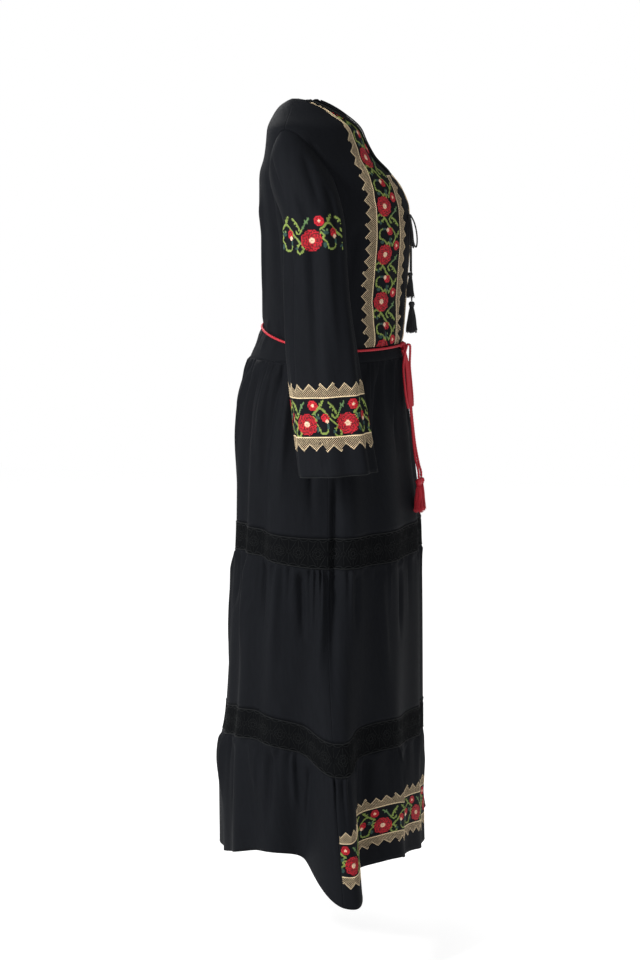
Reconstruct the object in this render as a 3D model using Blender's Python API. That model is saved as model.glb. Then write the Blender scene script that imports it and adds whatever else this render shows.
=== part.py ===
# Long black tiered dress, kept in the hollow form it has when it is worn.
# Metres, +Z up, front towards -Y, the wearer's right towards -X.
# The origin is on the body's middle line, level with the top of the shoulders.
# Every piece that is cut and sewn is one closed cloth wall, parted from the next by a seam gap.
import math

import bmesh
import bpy
import numpy as np

# Cloth and seams
WALL = 0.0018
SEAM_GAP = 0.0003

# Heights of the seams, from the shoulder top down
BODICE_END = -0.468
LACE_1 = (-0.772, -0.828)
LACE_2 = (-1.119, -1.175)
HEM = -1.388
PANEL_SEAM = math.radians(70.0)

# Form of body and skirt: a row for each level, and between the rows a smooth curve.
# side is how far behind the middle the widest points lie, and both depths start there.
FORM_COLUMNS = ("z", "half_width", "front_depth", "back_depth", "side")
FORM = (
    (0.000, 0.085, 0.022, 0.022, 0.046),
    (-0.004, 0.093, 0.036, 0.030, 0.045),
    (-0.013, 0.110, 0.052, 0.043, 0.043),
    (-0.028, 0.138, 0.070, 0.054, 0.041),
    (-0.055, 0.187, 0.092, 0.066, 0.036),
    (-0.078, 0.191, 0.098, 0.073, 0.032),
    (-0.105, 0.190, 0.106, 0.086, 0.025),
    (-0.134, 0.187, 0.125, 0.106, 0.016),
    (-0.165, 0.181, 0.138, 0.118, 0.007),
    (-0.200, 0.175, 0.143, 0.127, 0.000),
    (-0.250, 0.170, 0.146, 0.122, 0.000),
    (-0.300, 0.166, 0.143, 0.122, 0.000),
    (-0.360, 0.161, 0.139, 0.122, 0.000),
    (-0.404, 0.159, 0.136, 0.122, 0.000),
    (-0.432, 0.160, 0.134, 0.129, 0.000),
    (-0.468, 0.166, 0.134, 0.145, 0.000),
    (-0.500, 0.180, 0.136, 0.155, 0.000),
    (-0.560, 0.205, 0.139, 0.166, 0.000),
    (-0.650, 0.230, 0.147, 0.166, 0.000),
    (-0.780, 0.250, 0.160, 0.165, 0.000),
    (-0.950, 0.258, 0.164, 0.176, 0.000),
    (-1.134, 0.263, 0.163, 0.184, 0.000),
    (-1.230, 0.264, 0.162, 0.196, 0.000),
    (-1.388, 0.262, 0.163, 0.192, 0.000),
)

# Neckline and armholes: round at the neck, with a slit in front that comes to a point
NECK_COLUMNS = ("z", "half_width")
NECK_FRONT = (
    (0.000, 0.0850),
    (-0.013, 0.0800),
    (-0.036, 0.0610),
    (-0.055, 0.0340),
    (-0.061, 0.0230),
    (-0.103, 0.0090),
    (-0.1335, 0.0000),
)
NECK_BACK = (
    (0.000, 0.0850),
    (-0.004, 0.0835),
    (-0.013, 0.0760),
    (-0.026, 0.0560),
    (-0.036, 0.0280),
    (-0.040, 0.0000),
)
ARMHOLE_TOP = -0.055
ARMHOLE_BOTTOM = -0.212
ARMHOLE_MIDDLE = 0.5 * (ARMHOLE_TOP + ARMHOLE_BOTTOM)
ARMHOLE_HALF = 0.5 * (ARMHOLE_TOP - ARMHOLE_BOTTOM)
ARMHOLE_ANGLE_FRONT = math.radians(28.0)
ARMHOLE_ANGLE_BACK = math.radians(25.0)
TRIM_WIDTH = 0.0095
TRIM_THICKNESS = 0.0016
# Rows of front and back above the armhole, up to the shoulder top
SHOULDER_LEVELS = (-0.040, -0.026, -0.013, -0.004, 0.000)
# The neck sits slightly turned on the shoulders: its right side lies further forward.
NECK_TURN = 0.18

# Sleeve below the armhole: where its middle lies and how far it reaches out and fore and aft
SLEEVE_COLUMNS = ("z", "out", "fore", "half_out", "half_fore")
SLEEVE_RIGHT = (
    (-0.240, 0.224, 0.029, 0.044, 0.0534),
    (-0.350, 0.241, 0.038, 0.045, 0.0580),
    (-0.450, 0.259, 0.050, 0.046, 0.0640),
    (-0.550, 0.279, 0.067, 0.047, 0.0655),
    (-0.645, 0.301, 0.086, 0.048, 0.0680),
)
# The left sleeve hangs straighter, so that the body hides it from the other side.
SLEEVE_LEFT = (
    (-0.240, 0.224, 0.012, 0.044, 0.0534),
    (-0.350, 0.241, 0.004, 0.045, 0.0580),
    (-0.450, 0.259, -0.004, 0.046, 0.0640),
    (-0.550, 0.279, -0.008, 0.047, 0.0655),
    (-0.645, 0.301, -0.008, 0.048, 0.0680),
)
CUFF_RISE = 0.080

# The largest hanging folds of the skirt, each growing from its start down to the hem.
# Angles are in degrees from the front centre, towards the wearer's right.
FOLD_COLUMNS = ("angle", "half_angle", "start", "depth", "drop")
FOLDS = (
    (68.0, 10.5, -0.88, 0.106, 0.046),
    (50.0, 7.0, -0.95, -0.012, 0.0),
    (87.0, 10.0, -0.90, -0.012, 0.0),
    (34.0, 12.0, -0.92, 0.032, -0.021),
    (128.0, 15.0, -0.72, 0.013, 0.0),
    (168.0, 13.0, -0.80, 0.011, 0.0),
    (206.0, 14.0, -0.75, 0.012, 0.0),
    (246.0, 14.0, -0.82, 0.013, 0.0),
    (294.0, 11.0, -0.90, 0.080, 0.016),
    (314.0, 8.0, -0.95, -0.012, 0.0),
    (348.0, 13.0, -0.92, 0.009, 0.010),
)

# The skirt rides up behind each side: how far its levels rise, about which angle and how widely
RISE_COLUMNS = ("z", "angle", "half_angle", "rise")
RISES = (
    (-0.560, 135.0, 34.0, 0.000),
    (-0.772, 132.0, 34.0, 0.014),
    (-0.828, 128.0, 35.0, 0.021),
    (-1.119, 120.0, 37.0, 0.032),
    (-1.175, 118.0, 38.0, 0.034),
    (-1.388, 103.0, 38.0, 0.047),
)

# Gathers sewn in below each seam: how many all round and how deep they are
GATHER_COLUMNS = ("top", "count", "depth", "length", "phase")
GATHERS = (
    (BODICE_END, 22, 0.0045, 0.140, 0.4),
    (LACE_1[1], 24, 0.0036, 0.120, 1.3),
    (LACE_2[1], 25, 0.0036, 0.110, 2.1),
)
LONG_WAVES = 13
LONG_WAVE_DEPTH = 0.0060

# Cords, knots and tassels
BELT_DIAMETER = 0.0046
BELT_TIE_ANGLE = math.radians(4.0)
BELT_KNOT = (0.0, -0.1371, -0.4470)
BELT_KNOT_SIZE = (0.0100, 0.0060, 0.0085)
BELT_LOOP = (
    (-0.0057, -0.1444, -0.4452),
    (-0.0145, -0.1470, -0.4480),
    (-0.0235, -0.1455, -0.4610),
    (-0.0280, -0.1440, -0.4860),
    (-0.0290, -0.1465, -0.5150),
    (-0.0270, -0.1495, -0.5420),
    (-0.0195, -0.1515, -0.5590),
    (-0.0125, -0.1505, -0.5490),
    (-0.0103, -0.1480, -0.5230),
    (-0.0098, -0.1460, -0.4980),
    (-0.0094, -0.1430, -0.4750),
    (-0.0081, -0.1375, -0.4544),
)
BELT_TAIL_RIGHT = (
    (-0.0029, -0.1371, -0.4560),
    (-0.0031, -0.1425, -0.4750),
    (-0.0034, -0.1465, -0.5050),
    (-0.0036, -0.1510, -0.5500),
    (-0.0040, -0.1560, -0.6000),
    (-0.0060, -0.1620, -0.6500),
    (-0.0080, -0.1685, -0.6760),
    (-0.0085, -0.1696, -0.6900),
)
BELT_TAIL_LEFT = (
    (0.0029, -0.1371, -0.4560),
    (0.0031, -0.1425, -0.4750),
    (0.0034, -0.1465, -0.5050),
    (0.0036, -0.1510, -0.5500),
    (0.0048, -0.1550, -0.5900),
    (0.0090, -0.1590, -0.6300),
    (0.0130, -0.1650, -0.6650),
    (0.0140, -0.1688, -0.6790),
    (0.0140, -0.1696, -0.6900),
)
TIE_DIAMETER = 0.0030
TIE_KNOT = (0.0, -0.1482, -0.2120)
TIE_KNOT_SIZE = (0.0065, 0.0036, 0.0050)
TIE_LOOP = (
    (-0.0078, -0.1482, -0.2120),
    (-0.0130, -0.1500, -0.2150),
    (-0.0175, -0.1540, -0.2260),
    (-0.0185, -0.1575, -0.2420),
    (-0.0165, -0.1590, -0.2570),
    (-0.0125, -0.1585, -0.2670),
    (-0.0085, -0.1565, -0.2660),
    (-0.0065, -0.1540, -0.2560),
    (-0.0060, -0.1525, -0.2400),
    (-0.0052, -0.1489, -0.2167),
)
TIE_TAIL_RIGHT = (
    (-0.0017, -0.1482, -0.2173),
    (-0.0018, -0.1502, -0.2350),
    (-0.0020, -0.1512, -0.2600),
    (-0.0030, -0.1508, -0.2850),
    (-0.0040, -0.1508, -0.3020),
    (-0.0040, -0.1508, -0.3120),
)
TIE_TAIL_LEFT = (
    (0.0017, -0.1482, -0.2173),
    (0.0018, -0.1502, -0.2350),
    (0.0022, -0.1512, -0.2700),
    (0.0050, -0.1510, -0.3100),
    (0.0085, -0.1510, -0.3400),
    (0.0090, -0.1510, -0.3560),
    (0.0090, -0.1510, -0.3660),
)
TASSEL_GAP = 0.0007

# Mesh fineness
SKIRT_COLUMNS = 82
TIER_ROWS = 6
BODICE_COLUMNS = 11
SLEEVE_SIDES = 20
BELT_STEPS = 45
SMALL = 1e-4

# The edges that close a panel's wall and a tube's wall, each from its first row
ALL_EDGES = {"bottom": 0, "top": 0, "start": 0, "end": 0}
RING_EDGES = {"bottom": 0, "top": 0}


def table_curve(rows, columns, name, where):
    # Smooth curve through one column of a table, with no overshoot between its rows.
    order = sorted(rows, key=lambda row: row[0])
    xs = np.array([row[0] for row in order])
    ys = np.array([row[columns.index(name)] for row in order])
    step = np.diff(xs)
    slope = np.diff(ys) / step
    tangent = np.empty_like(ys)
    tangent[0] = slope[0]
    tangent[-1] = slope[-1]
    together = slope[:-1] * slope[1:] > 0.0
    total = np.where(together, slope[:-1] + slope[1:], 1.0)
    tangent[1:-1] = np.where(together, 2.0 * slope[:-1] * slope[1:] / total, 0.0)
    where = np.clip(np.asarray(where, float), xs[0], xs[-1])
    k = np.clip(np.searchsorted(xs, where, side="right") - 1, 0, len(xs) - 2)
    t = (where - xs[k]) / step[k]
    return (
        (1.0 + 2.0 * t) * (1.0 - t) ** 2 * ys[k]
        + t * (1.0 - t) ** 2 * step[k] * tangent[k]
        + t * t * (3.0 - 2.0 * t) * ys[k + 1]
        + t * t * (t - 1.0) * step[k] * tangent[k + 1]
    )


def form(name, z):
    return table_curve(FORM, FORM_COLUMNS, name, z)


def smooth_step(low, high, value):
    t = np.clip((value - low) / (high - low), 0.0, 1.0)
    return t * t * (3.0 - 2.0 * t)


def angle_between(angle, centre):
    return (angle - centre + math.pi) % (2.0 * math.pi) - math.pi


def unit(vectors):
    return vectors / np.linalg.norm(vectors, axis=-1, keepdims=True)


def belt_height(angle):
    # The belt lies lower in front and at the sides than at the back.
    return -0.428 - 0.018 * np.cos(angle) - 0.013 * np.sin(angle) ** 2


def hanging_folds(angle, z):
    # Outward reach and extra length of the largest folds. A fold is widest on its outer
    # part and steep at its sides, and it grows from its start down to the hem.
    reach = np.zeros(np.broadcast(angle, z).shape)
    drop = np.zeros_like(reach)
    for centre, half_angle, start, depth, longer in FOLDS:
        spread = angle_between(angle, math.radians(centre)) / math.radians(half_angle)
        growth = np.clip((start - z) / (start - HEM), 0.0, 1.0) ** 1.35
        shape = growth * np.exp(-np.abs(spread) ** 2.6)
        reach = reach + depth * shape
        drop = drop + longer * shape
    return reach, drop


def rise(angle, z):
    # How far the cloth behind each side rides up, the same on the right and the left.
    centre = np.radians(table_curve(RISES, RISE_COLUMNS, "angle", z))
    half_angle = np.radians(table_curve(RISES, RISE_COLUMNS, "half_angle", z))
    right = np.exp(-((angle_between(angle, centre) / half_angle) ** 2))
    left = np.exp(-((angle_between(angle, -centre) / half_angle) ** 2))
    return table_curve(RISES, RISE_COLUMNS, "rise", z) * (right + left)


def small_folds(angle, z):
    # Gathers below each seam, long shallow waves down the skirt and the pinch of the belt.
    uneven = angle + 0.16 * np.sin(2.0 * angle + 0.7) + 0.07 * np.sin(5.0 * angle + 1.9)
    calm = 0.45 + 0.55 * np.abs(np.sin(angle))
    waves = np.sin(LONG_WAVES * uneven + 0.5 * np.sin(3.0 * angle))
    depth = LONG_WAVE_DEPTH * calm * smooth_step(BODICE_END, -0.620, z) * waves
    for top, count, reach, length, phase in GATHERS:
        down = (top - z) / length
        fade = np.where(down > 0.0, np.clip(down * 6.0, 0.0, 1.0) * np.exp(-2.2 * down), 0.0)
        ripple = np.sin(count * (angle + 0.03 * np.sin(7.0 * angle + phase)) + phase)
        depth = depth + reach * calm * fade * ripple * (1.0 + 0.3 * np.sin(5.0 * angle + phase))
    pinch = np.exp(-(((z - belt_height(angle)) / 0.011) ** 2))
    return depth - 0.0035 * pinch


def body(angle, z):
    # Outer face of bodice and skirt: half ellipses in front and behind, pushed out by the folds.
    angle, z = np.broadcast_arrays(np.asarray(angle, float), np.asarray(z, float))
    cos = np.cos(angle)
    sin = np.sin(angle)
    width = form("half_width", z)
    depth = np.where(cos > 0.0, form("front_depth", z), form("back_depth", z))
    out_x = -sin * depth
    out_y = -cos * width
    reach, drop = hanging_folds(angle, z)
    push = (reach + small_folds(angle, z)) / np.hypot(out_x, out_y)
    x = -width * sin + push * out_x
    y = form("side", z) - depth * cos + push * out_y
    near_neck = smooth_step(-0.200, -0.050, z) * (1.0 - smooth_step(0.040, 0.170, np.abs(x)))
    y = y + NECK_TURN * x * near_neck * smooth_step(0.0, 0.5, cos)
    return np.stack([x, y, z - drop + rise(angle, z)], axis=-1)


def body_normal(angle, z):
    # Outward direction: level on skirt and waist, and square to the cloth on the shoulders.
    across = body(angle + SMALL, z) - body(angle - SMALL, z)
    low = np.minimum(z + SMALL, -0.0005)
    along = body(angle, low) - body(angle, low - 2.0 * SMALL)
    normal = unit(np.cross(along, across))
    normal[..., 2] *= smooth_step(-0.42, -0.32, z)
    return unit(normal)


# Meshes

def new_object(name, bm, material):
    bmesh.ops.remove_doubles(bm, verts=bm.verts, dist=2e-6)
    bmesh.ops.dissolve_degenerate(bm, dist=2e-6, edges=bm.edges)
    bmesh.ops.recalc_face_normals(bm, faces=bm.faces)
    mesh = bpy.data.meshes.new(name)
    bm.to_mesh(mesh)
    bm.free()
    mesh.shade_smooth()
    mesh.set_sharp_from_angle(angle=math.radians(50.0))
    mesh.materials.append(material)
    piece = bpy.data.objects.new(name, mesh)
    bpy.context.collection.objects.link(piece)
    return piece


def add_wall(bm, outer, inner, edges, round_about=False):
    # Both faces of a wall between two grids of rows by columns, and the edges that close it:
    # "bottom" and "top" are the first and last row, "start" and "end" the side columns,
    # each with the row from which it is closed.
    rows, columns = outer.shape[:2]
    skins = [[[bm.verts.new(point) for point in row] for row in grid] for grid in (outer, inner)]
    last = columns if round_about else columns - 1
    strips = []
    for row in range(rows - 1):
        for column in range(last):
            beside = (column + 1) % columns
            for skin in skins:
                low, high = skin[row], skin[row + 1]
                strips.append((low[column], low[beside], high[beside], high[column]))
    outside, inside = skins
    for edge, row in (("bottom", 0), ("top", rows - 1)):
        if edge in edges:
            for column in range(last):
                beside = (column + 1) % columns
                near, far = outside[row], inside[row]
                strips.append((near[column], near[beside], far[beside], far[column]))
    for edge, column in (("start", 0), ("end", columns - 1)):
        if edge in edges:
            for row in range(edges[edge], rows - 1):
                low, high = outside[row][column], outside[row + 1][column]
                strips.append((low, high, inside[row + 1][column], inside[row][column]))
    for corners in strips:
        bm.faces.new(corners)


def body_walls(name, grids, edges, material, lift=0.0, thickness=WALL):
    # One object of walls on the body's form, each from grids of angles and heights.
    bm = bmesh.new()
    for angles, heights in grids:
        surface = body(angles, heights)
        normal = body_normal(angles, heights)
        outer = surface + (lift + (thickness if lift > 0.0 else 0.0)) * normal
        add_wall(bm, outer, outer - thickness * normal, edges)
    return new_object(name, bm, material)


# Bodice

def panel_grid(neck, armhole_angle, depth_name, centre, centre_gap):
    # Angles from the centre line and heights of half a front or back. The rows follow the
    # belt at the waist, lie evenly round the armhole's curve, and end at the neck point.
    turn = np.linspace(math.pi, 0.0, 9)
    levels = np.concatenate([ARMHOLE_MIDDLE + ARMHOLE_HALF * np.cos(turn), SHOULDER_LEVELS])
    width = form("half_width", levels)
    round_armhole = np.clip((levels - ARMHOLE_MIDDLE) / ARMHOLE_HALF, -1.0, 1.0)
    far = 0.5 * math.pi - armhole_angle * np.sqrt(1.0 - round_armhole**2)
    far = far - 0.6 * SEAM_GAP / form(depth_name, levels)
    opening = np.where(levels < neck[-1][0], 0.0, table_curve(neck, NECK_COLUMNS, "half_width", levels))
    near = np.arcsin(np.clip(opening / width, 0.0, 1.0)) + centre_gap / width
    near = np.minimum(near, far)
    trim = np.minimum(TRIM_WIDTH / width, 0.5 * (far - near))
    shares = np.linspace(0.0, 1.0, BODICE_COLUMNS - 1)
    angles = np.concatenate(
        [near[:, None], (near + trim)[:, None] + (far - near - trim)[:, None] * shares[None, :]], axis=1
    )
    heights = np.repeat(levels[:, None], BODICE_COLUMNS, axis=1)
    belt = belt_height(centre + angles[0])
    waist = [np.full_like(belt, BODICE_END + 0.5 * SEAM_GAP), belt - 0.011, belt, belt + 0.011]
    for share in (0.26, 0.55, 0.80):
        waist.append(belt + 0.011 + (ARMHOLE_BOTTOM - belt - 0.011) * share)
    lower = np.array(waist)
    angles = np.concatenate([np.repeat(angles[:1], len(lower), axis=0), angles])
    return angles, np.concatenate([lower, heights])


def bodice(front_material, back_material, trim_material):
    front_angles, front_heights = panel_grid(
        NECK_FRONT, ARMHOLE_ANGLE_FRONT, "front_depth", 0.0, 0.5 * SEAM_GAP
    )
    for label, side in (("right", 1.0), ("left", -1.0)):
        grid = (side * front_angles, front_heights)
        body_walls("bodice_front_" + label, [grid], ALL_EDGES, front_material)
        first = int(np.argmax(front_heights[:, 0] > NECK_FRONT[-1][0] - 1e-6))
        strip = (side * front_angles[first:-2, :2], front_heights[first:-2, :2])
        body_walls("neck_trim_" + label, [strip], ALL_EDGES, trim_material, SEAM_GAP, TRIM_THICKNESS)
    back_angles, back_heights = panel_grid(
        NECK_BACK, ARMHOLE_ANGLE_BACK, "back_depth", math.pi, 0.0
    )
    split = int(np.argmax(back_heights[:, 0] > NECK_BACK[-1][0] - 1e-6))
    halves = [(math.pi - back_angles, back_heights), (math.pi + back_angles, back_heights)]
    edges = {"bottom": 0, "top": 0, "start": split, "end": 0}
    body_walls("bodice_back", halves, edges, back_material)


# Skirt

def crowded_columns(first, last):
    # Angles from first to last, in steps that shrink on the two deep side folds.
    fine = np.linspace(first, last, 721)
    crowd = np.ones_like(fine)
    for fold in FOLDS:
        if fold[3] > 0.05:
            crowd += 1.7 * np.exp(-((angle_between(fine, math.radians(fold[0])) / 0.20) ** 2))
    total = np.concatenate([[0.0], np.cumsum(0.5 * (crowd[1:] + crowd[:-1]))])
    count = round(SKIRT_COLUMNS * (last - first) / (2.0 * math.pi))
    return np.interp(np.linspace(0.0, total[-1], count + 1), total, fine)


def skirt_ring(name, levels, material):
    # Front and back panel of one tier or lace strip, joined at the panel seams.
    gap = 0.5 * SEAM_GAP / 0.16
    heights = np.array(levels, float)
    heights[0] -= 0.5 * SEAM_GAP
    if levels[-1] != HEM:
        heights[-1] += 0.5 * SEAM_GAP
    for label, first, last in (
        ("front", -PANEL_SEAM + gap, PANEL_SEAM - gap),
        ("back", PANEL_SEAM + gap, 2.0 * math.pi - PANEL_SEAM - gap),
    ):
        grid = np.meshgrid(crowded_columns(first, last), heights)
        body_walls(name + "_" + label, [grid], ALL_EDGES, material)


def tier_levels(top, bottom):
    # Rows crowd below the gathered seam, where the form changes most.
    return top + (bottom - top) * np.linspace(0.0, 1.0, TIER_ROWS) ** 1.35


# Sleeves

def sleeve_section(table, angle, z):
    # Level sections of the hanging sleeve, with soft long folds that grow towards the cuff.
    out, fore, half_out, half_fore = (
        table_curve(table, SLEEVE_COLUMNS, name, z) for name in SLEEVE_COLUMNS[1:]
    )
    lower = smooth_step(-0.240, -0.640, z)
    ripple = 0.0006 + 0.0028 * lower
    fold = 1.0 + ripple / 0.055 * np.sin(7.0 * angle + 0.6 * np.sin(angle) + 5.0 * z)
    x = -(out + half_out * fold * np.sin(angle))
    y = -(fore + half_fore * fold * np.cos(angle))
    rise = CUFF_RISE * lower * half_fore * np.cos(angle)
    return np.stack([x, y, z + rise], axis=-1)


def armhole_loop(angle, inside, lift):
    # Points round the right armhole, a little inside its edge and just off the bodice.
    reach = np.where(np.cos(angle) > 0.0, ARMHOLE_ANGLE_FRONT, ARMHOLE_ANGLE_BACK)
    z = ARMHOLE_MIDDLE + (ARMHOLE_HALF - inside) * np.sin(angle)
    theta = 0.5 * math.pi - (reach - inside / 0.18) * np.cos(angle)
    return body(theta, z) + lift * body_normal(theta, z)


def sleeve(name, table, side, material):
    # Cap of curves that leave the armhole and turn down into the tube, then level sections.
    angles = np.linspace(0.0, 2.0 * math.pi, SLEEVE_SIDES + 1)[:-1]
    heights = np.linspace(table[0][0], table[-1][0], 8)
    start = armhole_loop(angles, 0.0009, 0.0004)
    end = sleeve_section(table, angles, np.full_like(angles, heights[0]))
    above = sleeve_section(table, angles, np.full_like(angles, heights[0] + 0.01))
    chord = np.linalg.norm(end - start, axis=-1, keepdims=True)
    leave = unit(
        np.stack([np.full_like(angles, -0.85), -0.30 * np.cos(angles), -0.20 - 0.45 * np.sin(angles) ** 2], -1)
    )
    arrive = unit(end - above + np.array([0.0, 0.0, -0.010]))
    rows = []
    for t in (0.0, 0.15, 0.36, 0.66, 1.0):
        rows.append(
            (1 + 2 * t) * (1 - t) ** 2 * start
            + t * (1 - t) ** 2 * chord * leave
            + t * t * (3 - 2 * t) * end
            + t * t * (t - 1) * chord * arrive
        )
    for z in heights[1:]:
        rows.append(sleeve_section(table, angles, np.full_like(angles, z)))
    outer = np.array(rows)
    across = np.roll(outer, -1, axis=1) - np.roll(outer, 1, axis=1)
    inner = outer - WALL * unit(np.cross(across, np.gradient(outer, axis=0)))
    mirror = np.array([side, 1.0, 1.0])
    bm = bmesh.new()
    add_wall(bm, outer * mirror, inner * mirror, RING_EDGES, True)
    return new_object(name, bm, material)


# Cords, knots and tassels

def smooth_route(points, spacing):
    # Evenly spaced points on a smooth curve through the route's own points.
    points = np.array(points, float)
    before = np.vstack([2.0 * points[0] - points[1], points[:-1]])
    after = np.vstack([points[1:], 2.0 * points[-1] - points[-2]])
    tangent = 0.5 * (after - before)
    fine = [points[:1]]
    for k in range(len(points) - 1):
        t = np.linspace(0.0, 1.0, 25)[1:, None]
        fine.append(
            (1 + 2 * t) * (1 - t) ** 2 * points[k]
            + t * (1 - t) ** 2 * tangent[k]
            + t * t * (3 - 2 * t) * points[k + 1]
            + t * t * (t - 1) * tangent[k + 1]
        )
    fine = np.vstack(fine)
    length = np.concatenate([[0.0], np.cumsum(np.linalg.norm(np.diff(fine, axis=0), axis=1))])
    at = np.linspace(0.0, length[-1], max(4, round(length[-1] / spacing)) + 1)
    return np.stack([np.interp(at, length, fine[:, axis]) for axis in range(3)], axis=-1)


def cord(name, route, diameter, material):
    curve = bpy.data.curves.new(name, "CURVE")
    curve.dimensions = "3D"
    curve.bevel_depth = 0.5 * diameter
    curve.bevel_resolution = 2
    curve.use_fill_caps = True
    spline = curve.splines.new("POLY")
    spline.points.add(len(route) - 1)
    for spot, point in zip(spline.points, route):
        spot.co = (*point, 1.0)
    curve.materials.append(material)
    piece = bpy.data.objects.new(name, curve)
    bpy.context.collection.objects.link(piece)
    return piece


def free_cord(name, points, diameter, side, material):
    route = smooth_route(points, 3.0 * diameter) * np.array([side, 1.0, 1.0])
    return cord(name, route, diameter, material)


def belt(name, material):
    # The belt goes round the waist from one side of its knot to the other.
    angles = np.linspace(BELT_TIE_ANGLE, 2.0 * math.pi - BELT_TIE_ANGLE, BELT_STEPS)
    levels = belt_height(angles)
    route = body(angles, levels) + (0.5 * BELT_DIAMETER + 2.0 * SEAM_GAP) * body_normal(angles, levels)
    return cord(name, route, BELT_DIAMETER, material)


def knot(name, centre, size, material):
    # Small rounded knot, flattened towards the cloth.
    bm = bmesh.new()
    bmesh.ops.create_uvsphere(bm, u_segments=12, v_segments=7, radius=1.0)
    for vert in bm.verts:
        vert.co = [place + half * unit_co for place, half, unit_co in zip(centre, size, vert.co)]
    return new_object(name, bm, material)


def tassel(name, cord_end, length, head_radius, skirt_radius, strand_steps, material):
    # Head turned about its own axis; each cell of its underside runs down as one strand,
    # and a step gives a share of the strand's length and of the skirt's full spread.
    sides = 12
    profile = ((0.00, 0.45), (0.05, 0.85), (0.13, 1.00), (0.20, 0.80))
    top = np.array(cord_end) - np.array([0.0, 0.0, TASSEL_GAP])
    bm = bmesh.new()

    def circle(count, radius, down):
        turns = 2.0 * math.pi * np.arange(count) / count
        return [
            bm.verts.new(top + np.array([radius * math.cos(turn), radius * math.sin(turn), -down]))
            for turn in turns
        ]

    rings = [circle(sides, head_radius * wide, length * down) for down, wide in profile]
    bm.faces.new(rings[0])
    for upper, lower in zip(rings, rings[1:]):
        for k in range(sides):
            beside = (k + 1) % sides
            bm.faces.new((upper[k], upper[beside], lower[beside], lower[k]))
    root_down = length * profile[-1][0]
    root_radius = head_radius * profile[-1][1]
    middle = circle(sides // 2, 0.55 * root_radius, root_down)
    hub = bm.verts.new(top - np.array([0.0, 0.0, root_down]))
    edge = rings[-1]
    cells = []
    for k in range(sides // 2):
        beside = (k + 1) % (sides // 2)
        cells.append(bm.faces.new((hub, middle[k], middle[beside])))
        cells.append(bm.faces.new((middle[k], edge[2 * k], edge[2 * k + 1])))
        cells.append(bm.faces.new((middle[k], edge[2 * k + 1], middle[beside])))
        cells.append(bm.faces.new((middle[beside], edge[2 * k + 1], edge[(2 * k + 2) % sides])))
    bmesh.ops.recalc_face_normals(bm, faces=bm.faces)
    bmesh.ops.inset_individual(bm, faces=cells, thickness=0.07 * root_radius)
    for number, cell in enumerate(cells):
        root = cell.calc_center_median()
        offset = np.array([root.x, root.y]) - top[:2]
        strand = cell
        for share, spread in strand_steps:
            strand = bmesh.ops.extrude_discrete_faces(bm, faces=[strand])["faces"][0]
            centre = strand.calc_center_median()
            shorter = 0.05 * ((number * 7) % 5) / 4.0 * share
            place = top[:2] + offset * (skirt_radius / root_radius) * spread
            level = top[2] - root_down - (length - root_down) * (share - shorter)
            for vert in strand.verts:
                vert.co = (place[0] + vert.co.x - centre.x, place[1] + vert.co.y - centre.y, level)
    return new_object(name, bm, material)


def cloth_material(name, colour, roughness):
    material = bpy.data.materials.new(name)
    material.use_nodes = True
    shader = material.node_tree.nodes["Principled BSDF"]
    shader.inputs["Base Color"].default_value = (*colour, 1.0)
    shader.inputs["Roughness"].default_value = roughness
    shader.inputs["Metallic"].default_value = 0.0
    return material


# The whole dress

for old in list(bpy.data.objects):
    bpy.data.objects.remove(old, do_unlink=True)

black_cotton = cloth_material("black_cotton", (0.012, 0.014, 0.016), 0.88)
black_lace = cloth_material("black_lace", (0.008, 0.009, 0.011), 0.80)
black_cord = cloth_material("black_cord", (0.010, 0.011, 0.012), 0.70)
red_cord = cloth_material("red_cord", (0.42, 0.015, 0.035), 0.65)

bodice(black_cotton, black_cotton, black_lace)
sleeve("sleeve_right", SLEEVE_RIGHT, 1.0, black_cotton)
sleeve("sleeve_left", SLEEVE_LEFT, -1.0, black_cotton)
skirt_ring("tier_1", tier_levels(BODICE_END, LACE_1[0]), black_cotton)
skirt_ring("lace_1", LACE_1, black_lace)
skirt_ring("tier_2", tier_levels(LACE_1[1], LACE_2[0]), black_cotton)
skirt_ring("lace_2", LACE_2, black_lace)
skirt_ring("tier_3", tier_levels(LACE_2[1], HEM), black_cotton)

belt("belt", red_cord)
knot("belt_knot", BELT_KNOT, BELT_KNOT_SIZE, red_cord)
knot("tie_knot", TIE_KNOT, TIE_KNOT_SIZE, black_cord)
for label, side in (("right", 1.0), ("left", -1.0)):
    free_cord("belt_loop_" + label, BELT_LOOP, BELT_DIAMETER, side, red_cord)
    free_cord("tie_loop_" + label, TIE_LOOP, TIE_DIAMETER, side, black_cord)
free_cord("belt_tail_right", BELT_TAIL_RIGHT, BELT_DIAMETER, 1.0, red_cord)
free_cord("belt_tail_left", BELT_TAIL_LEFT, BELT_DIAMETER, 1.0, red_cord)
free_cord("tie_tail_right", TIE_TAIL_RIGHT, TIE_DIAMETER, 1.0, black_cord)
free_cord("tie_tail_left", TIE_TAIL_LEFT, TIE_DIAMETER, 1.0, black_cord)
bent_strands = ((0.40, 0.90), (1.00, 1.00))
plain_strands = ((1.00, 1.00),)
tassel("belt_tassel_right", BELT_TAIL_RIGHT[-1], 0.064, 0.0056, 0.0096, bent_strands, red_cord)
tassel("belt_tassel_left", BELT_TAIL_LEFT[-1], 0.064, 0.0056, 0.0096, bent_strands, red_cord)
tassel("tie_tassel_right", TIE_TAIL_RIGHT[-1], 0.048, 0.0040, 0.0072, plain_strands, black_cord)
tassel("tie_tassel_left", TIE_TAIL_LEFT[-1], 0.062, 0.0048, 0.0096, plain_strands, black_cord)
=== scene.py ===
# Long black tiered dress with cross-stitch bands, lace strips, cords and tassels.
# Metres, +Z up, front towards -Y, the wearer's right towards -X, origin between the shoulder tops.
import math

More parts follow.
